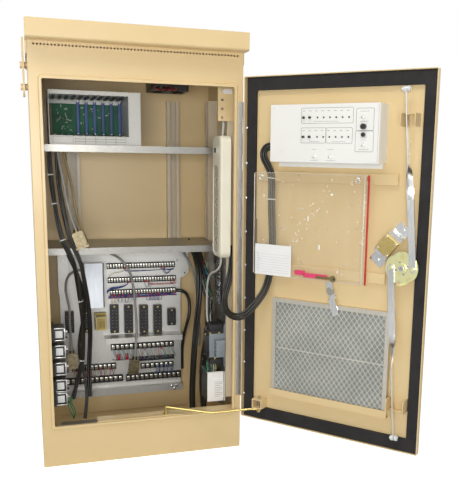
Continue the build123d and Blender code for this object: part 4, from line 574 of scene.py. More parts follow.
@piece("cabinet", CABINET, "brass", brass, slot_metal)
def socket_screws(bm):
    """A screw at each end, and two rows of contact slots, one in the narrow socket."""
    for x, z, height in SOCKETS:
        for end in (-1, 1):
            stud(bm, x, z + end * (height / 2 - 6.5), 376.4, 378.2, 3.5, 0, 14, 0.8)
        for column in (0,) if x == NARROW_SOCKET_X else (-6.5, 6.5):
            for row in range(6):
                slot_z = z + (row - 2.5) * (height - 30) / 6
                bar(bm, x + column - 2.2, x + column + 2.2, 381, 383.5, slot_z - 0.5, slot_z + 0.5, 1)


@piece("cabinet", CABINET, "ivory_plastic", amber_rim, amber_coil)
def relay_trim(bm):
    """Pale rim and inner coil edge seen through the relay's amber cover."""
    for z in (329, 372):
        bar(bm, -113, -79, 345.3, 346, z, z + 2.4, 0, 0.2)
    for x in (-114, -82):
        bar(bm, x, x + 2.4, 345.3, 346, 331, 372, 0, 0.2)
    for number in range(5):
        bar(bm, -104 + number * 4.2, -102.4 + number * 4.2, 345.4, 346, 338, 362, 1, 0.2)


# Terminal rows and barrier strips: black phenolic strips with a nickel clamp screw between each
# pair of fences, red crimp ferrules and thin leads that run along under the rows.
nickel = drawn_metal("nickel_screw", (0.8, 0.78, 0.7), (0.62, 0.6, 0.52), 0.28, 90.0)
dress("terminal_strips", black_moulding, ivory)
dress_where("terminal_strips", 1, lambda centre: centre.x > 0.245 and centre.y > 0.09)
ROWS = ((-69, 169, 546), (-66, 172, 496), (-60, 172, 452))
STRIPS = ((-61, 163, 254), (38, 164, 205), (43, 162, 178), (-197, -45, 186), (-219, -22, 140),
          (-10, 189, 138))
STRIP_FACE = 388.0
DARK_ROW = 205


def places_along(x0, x1, pitch):
    count = max(2, round((x1 - x0) / pitch))
    return [x0 + (number + 0.5) * (x1 - x0) / count for number in range(count)]


@piece("cabinet", CABINET, "zinc", nickel, black_moulding, wire_red)
def clamp_screws(bm):
    """A clamp plate and a slotted screw in each cell of the strips."""
    for x0, x1, z in ROWS:
        for x in places_along(x0, x1, 9.5):
            bar(bm, x - 2.9, x + 2.9, 386.8, STRIP_FACE, z - 6, z + 6, 0, 0.4)
            stud(bm, x, z, 384, 386.8, 2.5, 0, 10, 0.85)
            bar(bm, x - 0.4, x + 0.4, 383.7, 384.2, z - 2, z + 2, 1)
    for x0, x1, z in STRIPS:
        metal = 1 if z == DARK_ROW else 0
        for x in places_along(x0, x1, 16):
            bar(bm, x - 5.2, x + 5.2, 386.6, STRIP_FACE, z - 6.5, z + 6.5, metal, 0.5)
            stud(bm, x, z, 383.2, 386.6, 3.7, metal, 12, 0.85)
            bar(bm, x - 0.5, x + 0.5, 382.9, 383.4, z - 3, z + 3, 1)
    for x, z in ((-35, 219), (-6, 219)):
        bar(bm, x - 5, x + 5, 379, STRIP_FACE, z - 12, z + 10, 2, 1.5)


FERRULES = (
    (538, (-7, 120, 132)),
    (489, (3, 62, 74, 153, 166)),
    (443, (-53, -42, -29, -17, 4, 39, 73, 85, 97, 110, 131, 166)),
    (242, (58, 118)), (176, (-190, -60)),
)


@piece("cabinet", CABINET, "dark_rocker", wire_red)
def red_ferrules(bm):
    for z, places in FERRULES:
        for x in places:
            bar(bm, x - 2.2, x + 2.2, 382, 386, z - 5, z + 4, 0, 1.0)


wire_blue = moulded("wire_blue", (0.045, 0.09, 0.33), (0.03, 0.06, 0.24), 0.38)
wire_green = moulded("wire_green", (0.02, 0.3, 0.15), (0.012, 0.22, 0.105), 0.38)
wire_yellow = moulded("wire_yellow", (0.56, 0.43, 0.09), (0.44, 0.33, 0.06), 0.38)
wire_white = moulded("wire_white", (0.62, 0.62, 0.6), (0.5, 0.5, 0.48), 0.38)
wire_pale = moulded("wire_grey_blue", (0.26, 0.33, 0.38), (0.19, 0.25, 0.29), 0.38)
LEAD_COLOURS = (wire_blue, wire_red, wire_yellow, wire_green, wire_white, wire_pale, wire_black)
BLUE, RED, YELLOW, GREEN, WHITE, PALE, BLACK = range(7)


def panel_leads():
    """Thin leads that leave the terminals downwards, in the order of the rows."""
    draw = random.Random(3)
    lines = []
    colours = []

    def lead(colour, *points):
        lines.append(line_of(points))
        colours.append(colour)

    def drop(colour, x, z, run):
        """A lead that leaves a ferrule downwards and turns along the row."""
        low = z - draw.uniform(6, 12)
        lead(colour, (x, 384, z - 4), (x, 382, low), (x + 8, 388, low - 3),
             (x + run / 2, 389, low - draw.uniform(2, 5)), (x + run, 388, low - draw.uniform(0, 4)))

    for x, run in ((-7, 170), (-7, 120), (120, 46), (132, 34)):
        drop(BLUE, x, 538, run)
    for offset in (0, 5):
        lead(BLUE, (124 + offset, 384, 534), (128 + offset, 378, 516), (146, 380, 514 + offset),
             (156 - offset, 384, 528))
    lead(YELLOW, (-7, 384, 534), (-20, 386, 524), (-52, 388, 520), (-64, 390, 506), (-60, 388, 496))
    for run in (96, 92):
        drop(RED, 74, 489, run)
    for x in (153, 166):
        drop(RED, x, 489, 8)
    for number in range(4):
        lead(BLUE, (3, 384, 485), (-2, 384, 478 - number), (-30, 388, 472 - number * 2),
             (-62, 389, 470 - number * 2), (-70, 388, 458 - number * 3))
    for x in (62, 74):
        lead(PALE, (x, 384, 485), (x - 1, 380, 470), (x + 8, 380, 466), (x + 12, 384, 480))
    for number in range(7):
        z = 433 + number * 1.6
        lead(BLUE, (-66, 389 - number * 0.5, z - 2), (-20, 386, z + draw.uniform(-2, 2)),
             (40, 387, z + draw.uniform(-2, 2)), (100, 386, z + draw.uniform(-2, 2)), (140, 387, z + 1),
             (176, 390, 436))
    lead(RED, (-66, 386, 432), (-10, 384, 435), (60, 384, 433), (130, 385, 436), (174, 388, 434))
    for x, colour in ((-53, YELLOW), (-42, YELLOW), (-29, PALE), (-17, PALE), (-6, BLACK), (4, PALE),
                      (22, WHITE)):
        lead(colour, (x, 384, 440), (x - 4, 378, 424), (x - 1, 377, 418 - draw.uniform(0, 4)),
             (x + 9, 380, 422), (x + 10, 386, 436))
    for number, x in enumerate((68, 78, 88, 98, 108)):
        lead(BLUE, (x, 384, 439), (x - 6, 377, 426 - number), (x + 4, 376, 420), (x + 14, 379, 426),
             (x + 12, 386, 437))
    colours_down = (PALE, PALE, PALE, GREEN, PALE, PALE, RED, PALE, PALE, YELLOW, RED, GREEN, YELLOW, GREEN)
    for number, colour in enumerate(colours_down):
        x = -52 + number * 16
        for shift in (-3, 3):
            lead(colour if shift < 0 else PALE, (x + shift, 383, 246), (x + shift + 2, 377, 232),
                 (x + shift + draw.uniform(2, 12), 379, 220), (x + shift + draw.uniform(4, 16), 386, 206))
    for number in range(9):
        lead(draw.choice((BLACK, PALE, BLUE)), (-58 + number * 22, 389, 206 + draw.uniform(-4, 4)),
             (-38 + number * 22, 384, 204), (-20 + number * 22, 388, 207 + draw.uniform(-4, 4)))
    for number in range(14):
        x = 98 + number * 4.7
        lead((BLUE, PALE, BLACK)[number % 3], (x, 383, 180), (x + 1, 376, 168),
             (x - 6 + draw.uniform(0, 10), 374, 158), (x - 4, 384, 146))
    bright = (YELLOW, RED, BLUE, RED, YELLOW, WHITE, RED, GREEN, RED, YELLOW, PALE)
    for number in range(20):
        x = -192 + number * 7.4
        lead(bright[number % len(bright)], (x, 383, 182), (x + 1, 376, 171),
             (x - 5 + draw.uniform(0, 10), 376, 160), (x, 384, 150))
    cable("panel_leads", lines, 0.0019, "cabinet", "grey_sheath", *LEAD_COLOURS, choices=colours, sides=1)


panel_leads()


# Flash transfer relays: five white-faced units in bright frames, one above the other on the
# left-hand channels, screwed to dark bases.
dress("wall_relays", black_moulding)
RELAY_RIM = 62.5, 65.5


@piece("cabinet", CABINET, "zinc", stainless, black_moulding, nylon)
def relay_frames(bm):
    """Rim, screws, white face and side lead of each relay."""
    for z in (392, 338, 284, 230, 188):
        rim(bm, -263, -228, z - 20, z + 20, RELAY_RIM, 3.5, (0, 3), 0.5)
        for x in (-266, -225):
            stud(bm, x, z + 9, 60, 64, 3.4, 0, 10)
            stud(bm, x, z - 9, 60, 64, 3.4, 1, 10)
        bar(bm, -257, -236, 64.2, 65.7, z - 11, z + 11, 2, 0.5)
        bar(bm, -250, -243, 65.0, 66.0, z - 3, z + 4, 1, 0.3)
        bar(bm, -269, -263, 62, 150, z - 2, z + 2, 1, 0.5)


# Right-hand side: the surge arrester with its grey plug, the black service box with a bare white
# label, the cream ground block, a crinkled bright sleeve and short leads between them.
plug_grey = moulded("plug_grey", (0.24, 0.27, 0.29), (0.18, 0.205, 0.22), 0.5)
dress("surge_arrester", black_moulding, plug_grey)
dress_where("surge_arrester", 1, lambda centre: centre.y < -0.1455)
dress("service_box", black_moulding, paper, zinc)
dress_where("service_box", 1, lambda centre: centre.y < -0.1538 and centre.z < 0.2155)
dress_where("service_box", 2, lambda centre: centre.z > 0.2355)


@piece("cabinet", CABINET, "brass", brass)
def arrester_screws(bm):
    for y, z in ((92, 358), (124, 358), (108, 288), (84, 384), (132, 264)):
        turn = Matrix.Translation((212.6, y, z)) @ Matrix.Rotation(math.radians(90), 4, "Y")
        bmesh.ops.create_cone(bm, cap_ends=True, segments=12, radius1=4.2, radius2=3.4, depth=2.0,
                              matrix=turn)
    for x, z in ((222, 366), (252, 366), (238, 282)):
        stud(bm, x, z, 68, 70, 3.6, 0, 12, 0.8)


@piece("cabinet", CABINET, "paper", line_grey)
def service_label_lines(bm):
    for row in range(9):
        bar(bm, 235, 235 + (26 if row % 3 else 18), 60.25, 60.42, 154 + row * 6, 155.2 + row * 6, 0)


@piece("cabinet", CABINET, "aluminium", mirror_steel)
def crinkled_sleeve(bm):
    """Bright flexible sleeve: a band of sheet in shallow waves against the side panel."""
    bmesh.ops.create_grid(bm, x_segments=10, y_segments=60, size=0.5)
    bmesh.ops.scale(bm, vec=(46, 150, 1), verts=bm.verts)
    draw = random.Random(11)
    shifts = [draw.uniform(-2.2, 2.2) for _ in range(61)]
    for vert in bm.verts:
        row = round((vert.co.y + 75) / 2.5)
        wave = 3.2 * math.sin(vert.co.y * 0.75 + 0.06 * vert.co.x) + 0.6 * math.sin(vert.co.x * 0.5)
        vert.co = Vector((262 + wave * 0.9, 128 + vert.co.x + shifts[row] * 0.5, 528 + vert.co.y))
    grown = bmesh.ops.extrude_face_region(bm, geom=bm.faces[:])["geom"]
    bmesh.ops.translate(bm, vec=(-0.8, 0, 0), verts=verts_in(grown))


def side_leads():
    draw = random.Random(5)
    lines = []
    colours = []
    for number in range(16):
        y = draw.uniform(210, 300)
        z = draw.uniform(440, 585)
        lines.append(line_of([(249, y, z), (243, y - 12, z - 6), (240, y - 24, z - draw.uniform(14, 30)),
                              (248, y - 34, z - draw.uniform(30, 60)),
                              (262, y - 30, z - draw.uniform(40, 70))]))
        colours.append(draw.choice((BLACK, BLACK, WHITE, RED, GREEN, BLUE)))
    lines.append(line_of([(249, 322, 572), (240, 300, 566), (236, 270, 566), (244, 240, 560)]))
    lines.append(line_of([(249, 322, 568), (238, 300, 560), (234, 268, 560), (244, 236, 552)]))
    colours += [GREEN, GREEN]
    for number in range(5):
        x = 222 + number * 7
        lines.append(line_of([(x, 110, 262), (x - 4, 100, 246), (x + 3, 96, 232), (x + 2, 104, 240)]))
        colours.append((GREEN, BLACK, GREEN, WHITE, YELLOW)[number])
    for number in range(9):
        y = 180 + number * 12
        lines.append(line_of([(266, y, 440 - number * 9), (252, y - 10, 424 - number * 12),
                              (246, y - 20, 396 - number * 6), (256, y - 24, 360), (267, y - 12, 330)]))
        colours.append((BLACK, WHITE, BLACK, BLUE, RED, BLACK, YELLOW, BLACK, WHITE)[number])
    cable("side_leads", lines, 0.003, "cabinet", "black_rubber", *LEAD_COLOURS, choices=colours, sides=1)


side_leads()


# Cables inside the cabinet: black sheathed leads laid up in loose bundles with white ties, grey
# shielded cables that end in bronze connector hoods, and the ivory cords of the outlet strip.
LEFT_MAIN = ((-252, 186, 952), (-251.5, 182, 905), (-250, 176, 858), (-246, 167, 812), (-241, 158, 768),
             (-234, 150, 724), (-226, 146, 680), (-211, 145.3, 638), (-193, 145.6, 600), (-185, 165, 560),
             (-178, 190, 516), (-171, 215, 467), (-166, 237, 414), (-163, 255, 358), (-164, 266, 303),
             (-167, 271, 250), (-178, 271, 203), (-192, 266, 160), (-203, 257, 120))
LEFT_SECOND = ((-214, 238, 635), (-203, 226, 603), (-185, 215, 568), (-169, 216, 524), (-158, 226, 476),
               (-156, 248, 428), (-164, 266, 378), (-174, 278, 326), (-178, 282, 274), (-168, 287, 225),
               (-160, 278, 179), (-156, 265, 134), (-159, 249, 94), (-168, 229, 58))
GREY_A = ((-228, 182, 952), (-226, 177, 914), (-219, 162, 872), (-213, 142, 829), (-208, 124, 785),
          (-199, 115, 743), (-186, 111, 705))
GREY_B = ((-153.3, 352, 541), (-178, 351, 540), (-198, 345, 528), (-209, 335, 507), (-212, 324, 482),
          (-208, 311, 452), (-202, 300, 420), (-203, 303, 380), (-202, 300, 342), (-201, 301, 308),
          (-200, 298, 277))
GREY_C = ((-92, 330, 637.4), (-86, 327, 618), (-70, 320, 602), (-48, 311, 594), (-26, 301, 578),
          (-8, 293, 553), (3, 286, 520), (9, 281, 478), (12, 280, 432), (15, 280, 382), (16, 281, 332),
          (12, 280, 284), (8, 280, 246))
GREY_D = ((176, 350, 637), (181, 342, 612), (192, 326, 590), (206, 310, 566), (218, 302, 534),
          (226, 300, 494), (231, 300, 450), (235, 301, 404), (238, 300, 356), (241, 302, 308),
          (240, 308, 262))
PANEL_CABLE = ((172.3, 382, 452), (188, 382, 452), (204, 371, 446), (213, 355, 428), (214, 343, 400),
               (210, 337, 367), (203, 345, 333), (199, 360, 306), (198, 378, 280), (199, 396, 254),
               (198, 408, 222), (199, 412, 186), (199, 412.4, 150))
RIGHT_HARNESS = ((229, 300, 635), (231, 294, 611), (236, 278, 582), (243, 254, 552), (249, 233, 515),
                 (252, 218, 472), (253, 209, 426), (252, 207, 378), (248, 212, 330), (243, 221, 280),
                 (239, 232, 230), (237, 243, 180), (239, 252, 130), (243, 258, 80), (247, 262, 32))
STRIP_CORD_IN = ((254, 70, 1109.7), (254, 70, 1084), (257.5, 66, 1058), (260, 61, 1034), (258.5, 57.5, 1012),
                 (256, 56, 990.3))
STRIP_CORD_OUT = ((256, 62, 615.7), (256, 62, 596), (251, 76, 574), (243, 98, 562), (237, 124, 554),
                  (235, 150, 534), (236, 170, 504), (238, 182, 468), (239, 188, 430), (240, 187, 392),
                  (243, 176, 360), (244, 162, 346), (244, 146.3, 346))


def smooth_line(points):
    """Points read along the smooth line of a route."""
    mesh = curve_mesh("route", [line_of(points)], 5)
    line = [vert.co.copy() for vert in mesh.vertices]
    bpy.data.meshes.remove(mesh)
    return line


def frames_along(line):
    """For each point of a line, the direction and two directions across it that never twist."""
    across = None
    frames = []
    for number, point in enumerate(line):
        before = line[max(number - 1, 0)]
        after = line[min(number + 1, len(line) - 1)]
        ahead = (after - before).normalized()
        across = ahead.orthogonal() if across is None else across - ahead * across.dot(ahead)
        across = across.normalized()
        frames.append((point, ahead, across, ahead.cross(across)))
    return frames


def laid_up(line, count, radius, turns, loose=0.0, seed=1):
    """Lines of a bundle's leads, laid round its route with a slow twist."""
    draw = random.Random(seed)
    leads = []
    for lead in range(count):
        start = math.tau * lead / count + draw.uniform(-0.2, 0.2)
        phase = draw.uniform(0, math.tau)
        path = []
        for number, (point, _, one, two) in enumerate(frames_along(line)):
            share = number / (len(line) - 1)
            turn = start + math.tau * turns * share
            reach = radius * (1 - loose * (0.5 + 0.5 * math.sin(phase + 9 * share)))
            path.append(point + one * (reach * math.cos(turn)) + two * (reach * math.sin(turn)))
        leads.append(path[::3] + [path[-1]])
    return leads


def ties(name, line, shares, radius, finish):
    """Nylon ties pulled round a bundle, each with its square head."""
    bm = bmesh.new()
    frames = frames_along(line)
    for share in shares:
        point, ahead, one, two = frames[int(share * (len(line) - 1))]
        turn = Matrix((one, two, ahead)).transposed().to_4x4()
        turn.translation = point
        ring = bmesh.ops.create_circle(bm, cap_ends=False, segments=20, radius=radius, matrix=turn)["verts"]
        edges = list({edge for vert in ring for edge in vert.link_edges})
        grown = bmesh.ops.extrude_edge_only(bm, edges=edges)["geom"]
        bmesh.ops.translate(bm, vec=ahead * 0.0034, verts=verts_in(grown))
        corner = turn @ Matrix.Translation((radius + 0.0012, 0, 0.0017))
        head = bmesh.ops.create_cube(bm, size=0.0048, matrix=corner)
        ease(bm, head["verts"], 0.0006, 1)
    fit(name, bm, "cabinet", Matrix.Identity(4), "white_nylon", finish)


cable_jacket = moulded("black_jacket", (0.026, 0.025, 0.023), (0.014, 0.013, 0.012), 0.34, 260.0, 0.1)
# Some leads take a lighter, olive black: painted sheen on the black jackets.
olive_painted_sheen_jacket = moulded("olive_painted_sheen_jacket_mat", (0.042, 0.041, 0.028), (0.024, 0.023, 0.018), 0.32, 260.0, 0.1)
grey_jacket = moulded("grey_jacket", (0.3, 0.295, 0.27), (0.24, 0.235, 0.215), 0.42)
tan_jacket = moulded("tan_jacket", (0.25, 0.19, 0.08), (0.19, 0.14, 0.055), 0.42)
cord_ivory = moulded("cord_ivory", (0.56, 0.55, 0.49), (0.5, 0.49, 0.43), 0.4)
bronze = drawn_metal("bronze_hood", (0.21, 0.175, 0.11), (0.11, 0.09, 0.055), 0.34, 30.0)

left_line = smooth_line(LEFT_MAIN)
left_second_line = smooth_line(LEFT_SECOND)
right_line = smooth_line(RIGHT_HARNESS)
CABLE_FINISHES = (cable_jacket, olive_painted_sheen_jacket)
left_leads = laid_up(left_line, 4, 0.005, 1.1, 0.25, 2)
left_leads += laid_up(left_second_line, 3, 0.0034, 0.9, 0.2, 4)
left_bundle = cable("left_bundle", left_leads, 0.0066, "cabinet", "black_rubber", *CABLE_FINISHES,
                    choices=[0, 1, 0, 0, 0, 1, 0])
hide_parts("left_harness")
right_bundle = cable("right_bundle", laid_up(right_line, 6, 0.0084, 0.7, 0.2, 6) + [right_line[::3]], 0.0082,
                     "cabinet", "black_rubber", *CABLE_FINISHES, choices=[0, 1, 0, 1, 0, 0, 0])
panel_cable = cable("panel_cable", [line_of(PANEL_CABLE)], 0.0116, "cabinet", "black_rubber", cable_jacket)
strip_cords = cable("strip_cords", [line_of(STRIP_CORD_IN), line_of(STRIP_CORD_OUT)], 0.007, "cabinet",
                    "grey_sheath", cord_ivory)
for made in (right_bundle, panel_cable, strip_cords):
    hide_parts("right_harness")
grey_runs = cable("grey_runs", [line_of(route) for route in (GREY_A, GREY_B, GREY_C, GREY_D)], 0.008,
                  "cabinet", "grey_sheath", grey_jacket)
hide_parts("grey_cables")
ties("bundle_ties_left", left_line, (0.08, 0.2, 0.34, 0.62, 0.86), 0.0092, nylon)
ties("bundle_ties_right", right_line, (0.12, 0.45, 0.8), 0.0132, cable_jacket)
dress("connector_hoods", bronze)

# The tan cable beside the left-hand bundle, and the green bonding leads below it
TAN_CABLE = ((-212, 196, 952), (-206, 190, 912), (-196, 176, 868), (-188, 158, 820), (-184, 140, 772),
             (-176, 128, 734), (-166, 122, 704), (-156, 122, 676), (-150, 130, 652))
BONDING = [line_of([(-214 + shift, 252, 128), (-220 + shift, 240, 112), (-216 + shift * 2, 232, 90),
                    (-206 + shift, 236, 70), (-204, 244, 56)]) for shift in (0, 5, 9)]
cable("tan_cable", [line_of(TAN_CABLE)], 0.0085, "cabinet", "grey_sheath", tan_jacket)
cable("bonding_leads", BONDING, 0.0032, "cabinet", "dark_rocker", wire_green)


def loose_leads():
    """Second bundle beside the left-hand one, and the thick one behind the surge arrester."""
    beside = [(x + 22, y - 3, z) for x, y, z in LEFT_MAIN[:15]] + [(-150, 262, 200), (-146, 246, 128)]
    left = laid_up(smooth_line(beside), 3, 0.0042, 0.8, 0.2, 11)
    front = ((206, 330, 637), (214, 296, 612), (221, 262, 580), (224, 238, 540), (223, 226, 480),
             (218, 222, 420), (212, 226, 360), (208, 232, 300), (205, 240, 240), (203, 248, 180),
             (203, 256, 120), (206, 262, 50))
    right = laid_up(smooth_line(front), 5, 0.0078, 0.5, 0.2, 13)
    cable("loose_leads", left + right, 0.0078, "cabinet", "black_rubber", *CABLE_FINISHES,
          choices=[0, 0, 1, 0, 1, 0, 0, 1])


loose_leads()


# Door harness: three flat black cables that leave the cabinet past the hinge, loop over to the
# open door, climb it behind the pouch and fold back into the side of the switch box.
DOOR_ANGLE = math.radians(131)
LEAF = (Matrix.Translation((0.305, -0.228, 0)) @ Matrix.Rotation(DOOR_ANGLE, 4, "Z") @
        Matrix.Diagonal((-0.001, 0.001, 0.001, 1)))
HARNESS_START = ((287, 42, 652), (287, 44, 606), (284, 47, 568), (276, 47, 534), (264, 40, 502),
                 (255, 18, 476), (254, -12, 455), (264, -40, 444))
HARNESS_CLIMB = ((30, 54, 446), (50, 42, 464), (68, 29, 490), (85, 17, 519), (97, 9.6, 553), (105, 9.2, 594),
                 (110, 9.3, 640), (111, 9.2, 688), (108, 9.3, 736), (105, 9.2, 782), (105, 9.4, 824),
                 (105, 9.3, 861), (100, 9.2, 888), (88, 9.4, 908), (76, 9.2, 925), (74, 9.4, 944),
                 (86, 9.3, 958), (104, 9.3, 959), (124.7, 9.3, 959))
WIRE_PITCH = 0.008


def harness_wires():
    """Lines of the three cables, side by side in the plane of the open door."""
    middle = line_of(HARNESS_START) + line_of(HARNESS_CLIMB, LEAF)
    normal = Vector((-math.sin(DOOR_ANGLE), math.cos(DOOR_ANGLE), 0))
    wires = []
    for aside in (-1, 0, 1):
        wire = []
        for number, point in enumerate(middle):
            ahead = middle[min(number + 1, len(middle) - 1)] - middle[max(number - 1, 0)]
            wire.append(point + ahead.cross(normal).normalized() * (aside * WIRE_PITCH))
        wires.append(wire)
    return wires


door_wires = harness_wires()
door_cables = cable("door_cables", door_wires, 0.0072, None, "black_rubber", *CABLE_FINISHES,
                    choices=[0, 1, 0])
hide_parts("door_harness")
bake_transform(door_cables)


@piece("door", LEAF, "white_nylon", nylon)
def harness_ties(bm):
    """Flat ties over the three cables on the open door."""
    for s, z, tilt in ((103, 868, 4), (106, 806, 0), (110, 664, -2)):
        tie = bmesh.ops.create_cube(bm, size=1.0)["verts"]
        bmesh.ops.scale(bm, vec=(27, 8.6, 3.6), verts=tie)
        ease(bm, tie, 1.2)
        place = Matrix.Translation((s, 9.2, z)) @ Matrix.Rotation(math.radians(tilt), 4, "Y")
        fresh = [vert for vert in bm.verts if abs(vert.co.x) < 20 and abs(vert.co.z) < 20]
        bmesh.ops.transform(bm, matrix=place, verts=fresh)


# Door: beige pan with a black closed-cell gasket glued round it, hung on a stainless piano hinge,
# with hat rails, a filter channel and rod guides welded to it in the same paint.
dress("door_gasket", foam)
dress_all(nylon, "lower_rollers", "upper_rollers")
CAM_S, CAM_Z = 522, 639


@piece("door", LEAF, "beige_paint", beige)
def pan_seam(bm):
    """Two raised seams along the top of the pan's outer side."""
    bar(bm, 44, 468, -4.0, -3.1, 1106, 1107.2, 0, 0.3)
    bar(bm, 60, 452, -4.0, -3.4, 1114, 1114.8, 0, 0.2)


@piece("door", LEAF, "zinc", zinc)
def hinge_bolts(bm):
    """Bright bolts of the hinge, that come through the gasket's hinge side."""
    for number in range(9):
        z = 1013 - 103 * number
        stud(bm, 14, z, 6.4, 4.8, 3.4, 0, 12, 0.6)
        stud(bm, 14, z, 7.2, 6.2, 1.9, 0, 10)


@piece("lock_cam_body", LEAF, "zinc", zinc, steel_bolt)
def handle_nut(bm):
    """Washer and nut on the handle's shaft, with four rivets round them."""
    stud(bm, CAM_S, CAM_Z, 20.4, 18.1, 12.5, 0, 24)
    stud(bm, CAM_S, CAM_Z, 24.6, 20.4, 8.2, 0, 6)
    stud(bm, CAM_S, CAM_Z, 26.2, 24.6, 4.6, 1, 14, 0.8)
    for angle in (20, 110, 200, 290):
        s = CAM_S + 17 * math.cos(math.radians(angle))
        z = CAM_Z + 17 * math.sin(math.radians(angle))
        stud(bm, s, z, 18.6, 18.1, 3.0, 1, 10)


# Switch box: white painted aluminium box screwed to the door, with two rows of black push
# buttons and pilot holes in grey printed outlines, a fuse holder and chromed toggle switches.
dress("switch_box", box_white, black_moulding, line_grey)
BOX_FACE = 54.9


def fuse_at(centre):
    """Where the fuse holder stands out of the box's face."""
    s, off, z = LEAF.inverted() @ centre
    return off > 55.3 and s > 400 and 983 < z < 1021


dress_where("switch_box", 1, fuse_at)


@piece("door", LEAF, "white_paint", line_grey)
def printed_outlines(bm):
    """Rounded outlines printed round the groups of switches, raised a hair."""

    def outline(s0, s1, z0, z1, line=1.1, corner=4):
        rim(bm, s0, s1, z0, z1, (BOX_FACE, BOX_FACE + 0.25), line, (corner, corner))
        for s, z, turn in ((s0 + corner, z0 + corner, 180), (s1 - corner, z0 + corner, 270),
                           (s1 - corner, z1 - corner, 0), (s0 + corner, z1 - corner, 90)):
            for step in range(3):
                angle = math.radians(turn + 15 + 30 * step)
                x = s + (corner - line / 2) * math.cos(angle)
                y = z + (corner - line / 2) * math.sin(angle)
                bar(bm, x - 0.7, x + 0.7, BOX_FACE, BOX_FACE + 0.24, y - 0.7, y + 0.7)

    outline(223, 380, 1021, 1063)
    outline(223, 300, 968, 1010)
    outline(300, 379, 968, 1010)
    outline(388, 439, 1001, 1060)
    outline(387, 440, 946, 1001)
    for z in (1055, 1002):
        for number in range(8):
            s = 231 + number * 19
            bar(bm, s - 3.6, s + 3.6, BOX_FACE, BOX_FACE + 0.2, z - 1.1, z + 0.3)
    for s0, s1, z in ((262, 340, 1027), (250, 280, 973), (320, 360, 973), (400, 426, 1052), (400, 428, 1026),
                      (402, 424, 985), (398, 430, 953), (258, 276, 952), (306, 328, 952), (254, 282, 922),
                      (302, 332, 922)):
        for number in range(int((s1 - s0) / 5)):
            bar(bm, s0 + number * 5, s0 + number * 5 + 3.2, BOX_FACE, BOX_FACE + 0.18, z - 1.0, z + 0.3)


@piece("door", LEAF, "chrome", zinc, line_grey, black_moulding)
def box_seams(bm):
    """Folded corner seam and screw heads of the box."""
    bar(bm, 451.6, 452.4, 54.6, 55.05, 918, 1071, 1)
    for s, z in ((160, 946), (446, 922), (136, 1064)):
        stud(bm, s, z, 56.4, 54.8, 2.6, 0, 12, 0.7)
    for s in (273, 291.8, 310.6, 329.4, 348.2, 367):
        for z in (1037, 985):
            stud(bm, s, z, 55.2, 52, 2.55, 2, 14)
    for s, z in ((268, 934), (317, 934), (409, 1039), (412, 966)):
        stud(bm, s, z, 55.4, 57.0, 5.6, 0, 6)


dress_where("lock_case", 1, lambda centre: (LEAF.inverted() @ centre).y > 25.2)
for number in range(1, 5):
    dress(f"test_button_{number}", black_moulding)
    dress(f"toggle_{number}", zinc)


# Document pouch: clear vinyl sheet hung from two rings on the upper rail, creased where papers
# are pushed in, welded along its edges and closed at the side by a red zip.
POUCH_S0, POUCH_S1, POUCH_Z0, POUCH_Z1 = 48.0, 412.0, 580.0, 884.0
POUCH_FRONT, POUCH_BACK = 16.0, 13.6
GLINT_OFF = 16.1
RING_S = 75, 384


def clear_vinyl():
    mat, tree, shader, where = finish_nodes("clear_vinyl", 0.08, 0.0)
    folds = noise(tree, where, 9.0, 3.0, (5.0, 5.0, 1.0))
    crease_glint_mask = noise(tree, where, 34.0, 4.0, (1.0, 1.0, 1.6))
    colour_by(tree, shader, folds, [(0.35, (0.66, 0.56, 0.4)), (0.65, (0.82, 0.74, 0.58))])
    bump_by(tree, shader, folds, 0.5, 0.006)
    # Where this noise is high the pale vinyl turns nearly opaque: painted glints on its creases.
    colour_by(tree, shader, crease_glint_mask, [(0.66, (0.1, 0.1, 0.1)), (0.74, (0.6, 0.6, 0.6))], "Alpha")
    return mat


vinyl = clear_vinyl()
# White of the small marks on the pouch: painted glints of its creases.
vinyl_glint_white = moulded("vinyl_painted_glint", (0.95, 0.94, 0.9), (0.9, 0.89, 0.84), 0.1, 60.0, 0.02)
weld_pale = moulded("welded_edge", (0.73, 0.67, 0.56), (0.68, 0.61, 0.49), 0.2)
weld_dark = moulded("folded_edge", (0.18, 0.13, 0.085), (0.13, 0.095, 0.06), 0.25)
zip_red = moulded("zip_red", (0.64, 0.04, 0.035), (0.54, 0.025, 0.025), 0.4)


TURN = math.tau / 12
ring_lines = [line_of([(s + 6.5 * math.cos(TURN * k), 17.7 + 0.5 * math.sin(TURN * k),
                        868 + 6.5 * math.sin(TURN * k)) for k in range(12)], LEAF) for s in RING_S]
rings = cable("pouch_rings", ring_lines, 0.0022, "door", "zinc", zinc, closed=True)


@piece("door", LEAF, "clear_vinyl", vinyl)
def pouch_sheets(bm):
    """Front and back sheets, the front pushed out by the papers and rippled below its rings."""
    draw = random.Random(9)
    waves = [(draw.uniform(0.03, 0.09), draw.uniform(0, 6.28), draw.uniform(0.2, 0.5)) for _ in range(6)]
    for off, depth in ((POUCH_FRONT - 1.0, 1.0), (POUCH_BACK, 0.15)):
        made = bmesh.ops.create_grid(bm, x_segments=72, y_segments=56, size=0.5)["verts"]
        for vert in made:
            s = POUCH_S0 + (vert.co.x + 0.5) * (POUCH_S1 - POUCH_S0)
            z = POUCH_Z0 + (vert.co.y + 0.5) * (POUCH_Z1 - POUCH_Z0)
            inside = min(s - POUCH_S0, POUCH_S1 - s, z - POUCH_Z0, POUCH_Z1 - z, 24) / 24
            ripple = sum(size * math.sin(rate * s + shift + 0.012 * (z - 700)) for rate, shift, size in waves)
            vert.co = Vector((s, off + depth * inside * (0.35 + 0.65 * ripple), z))


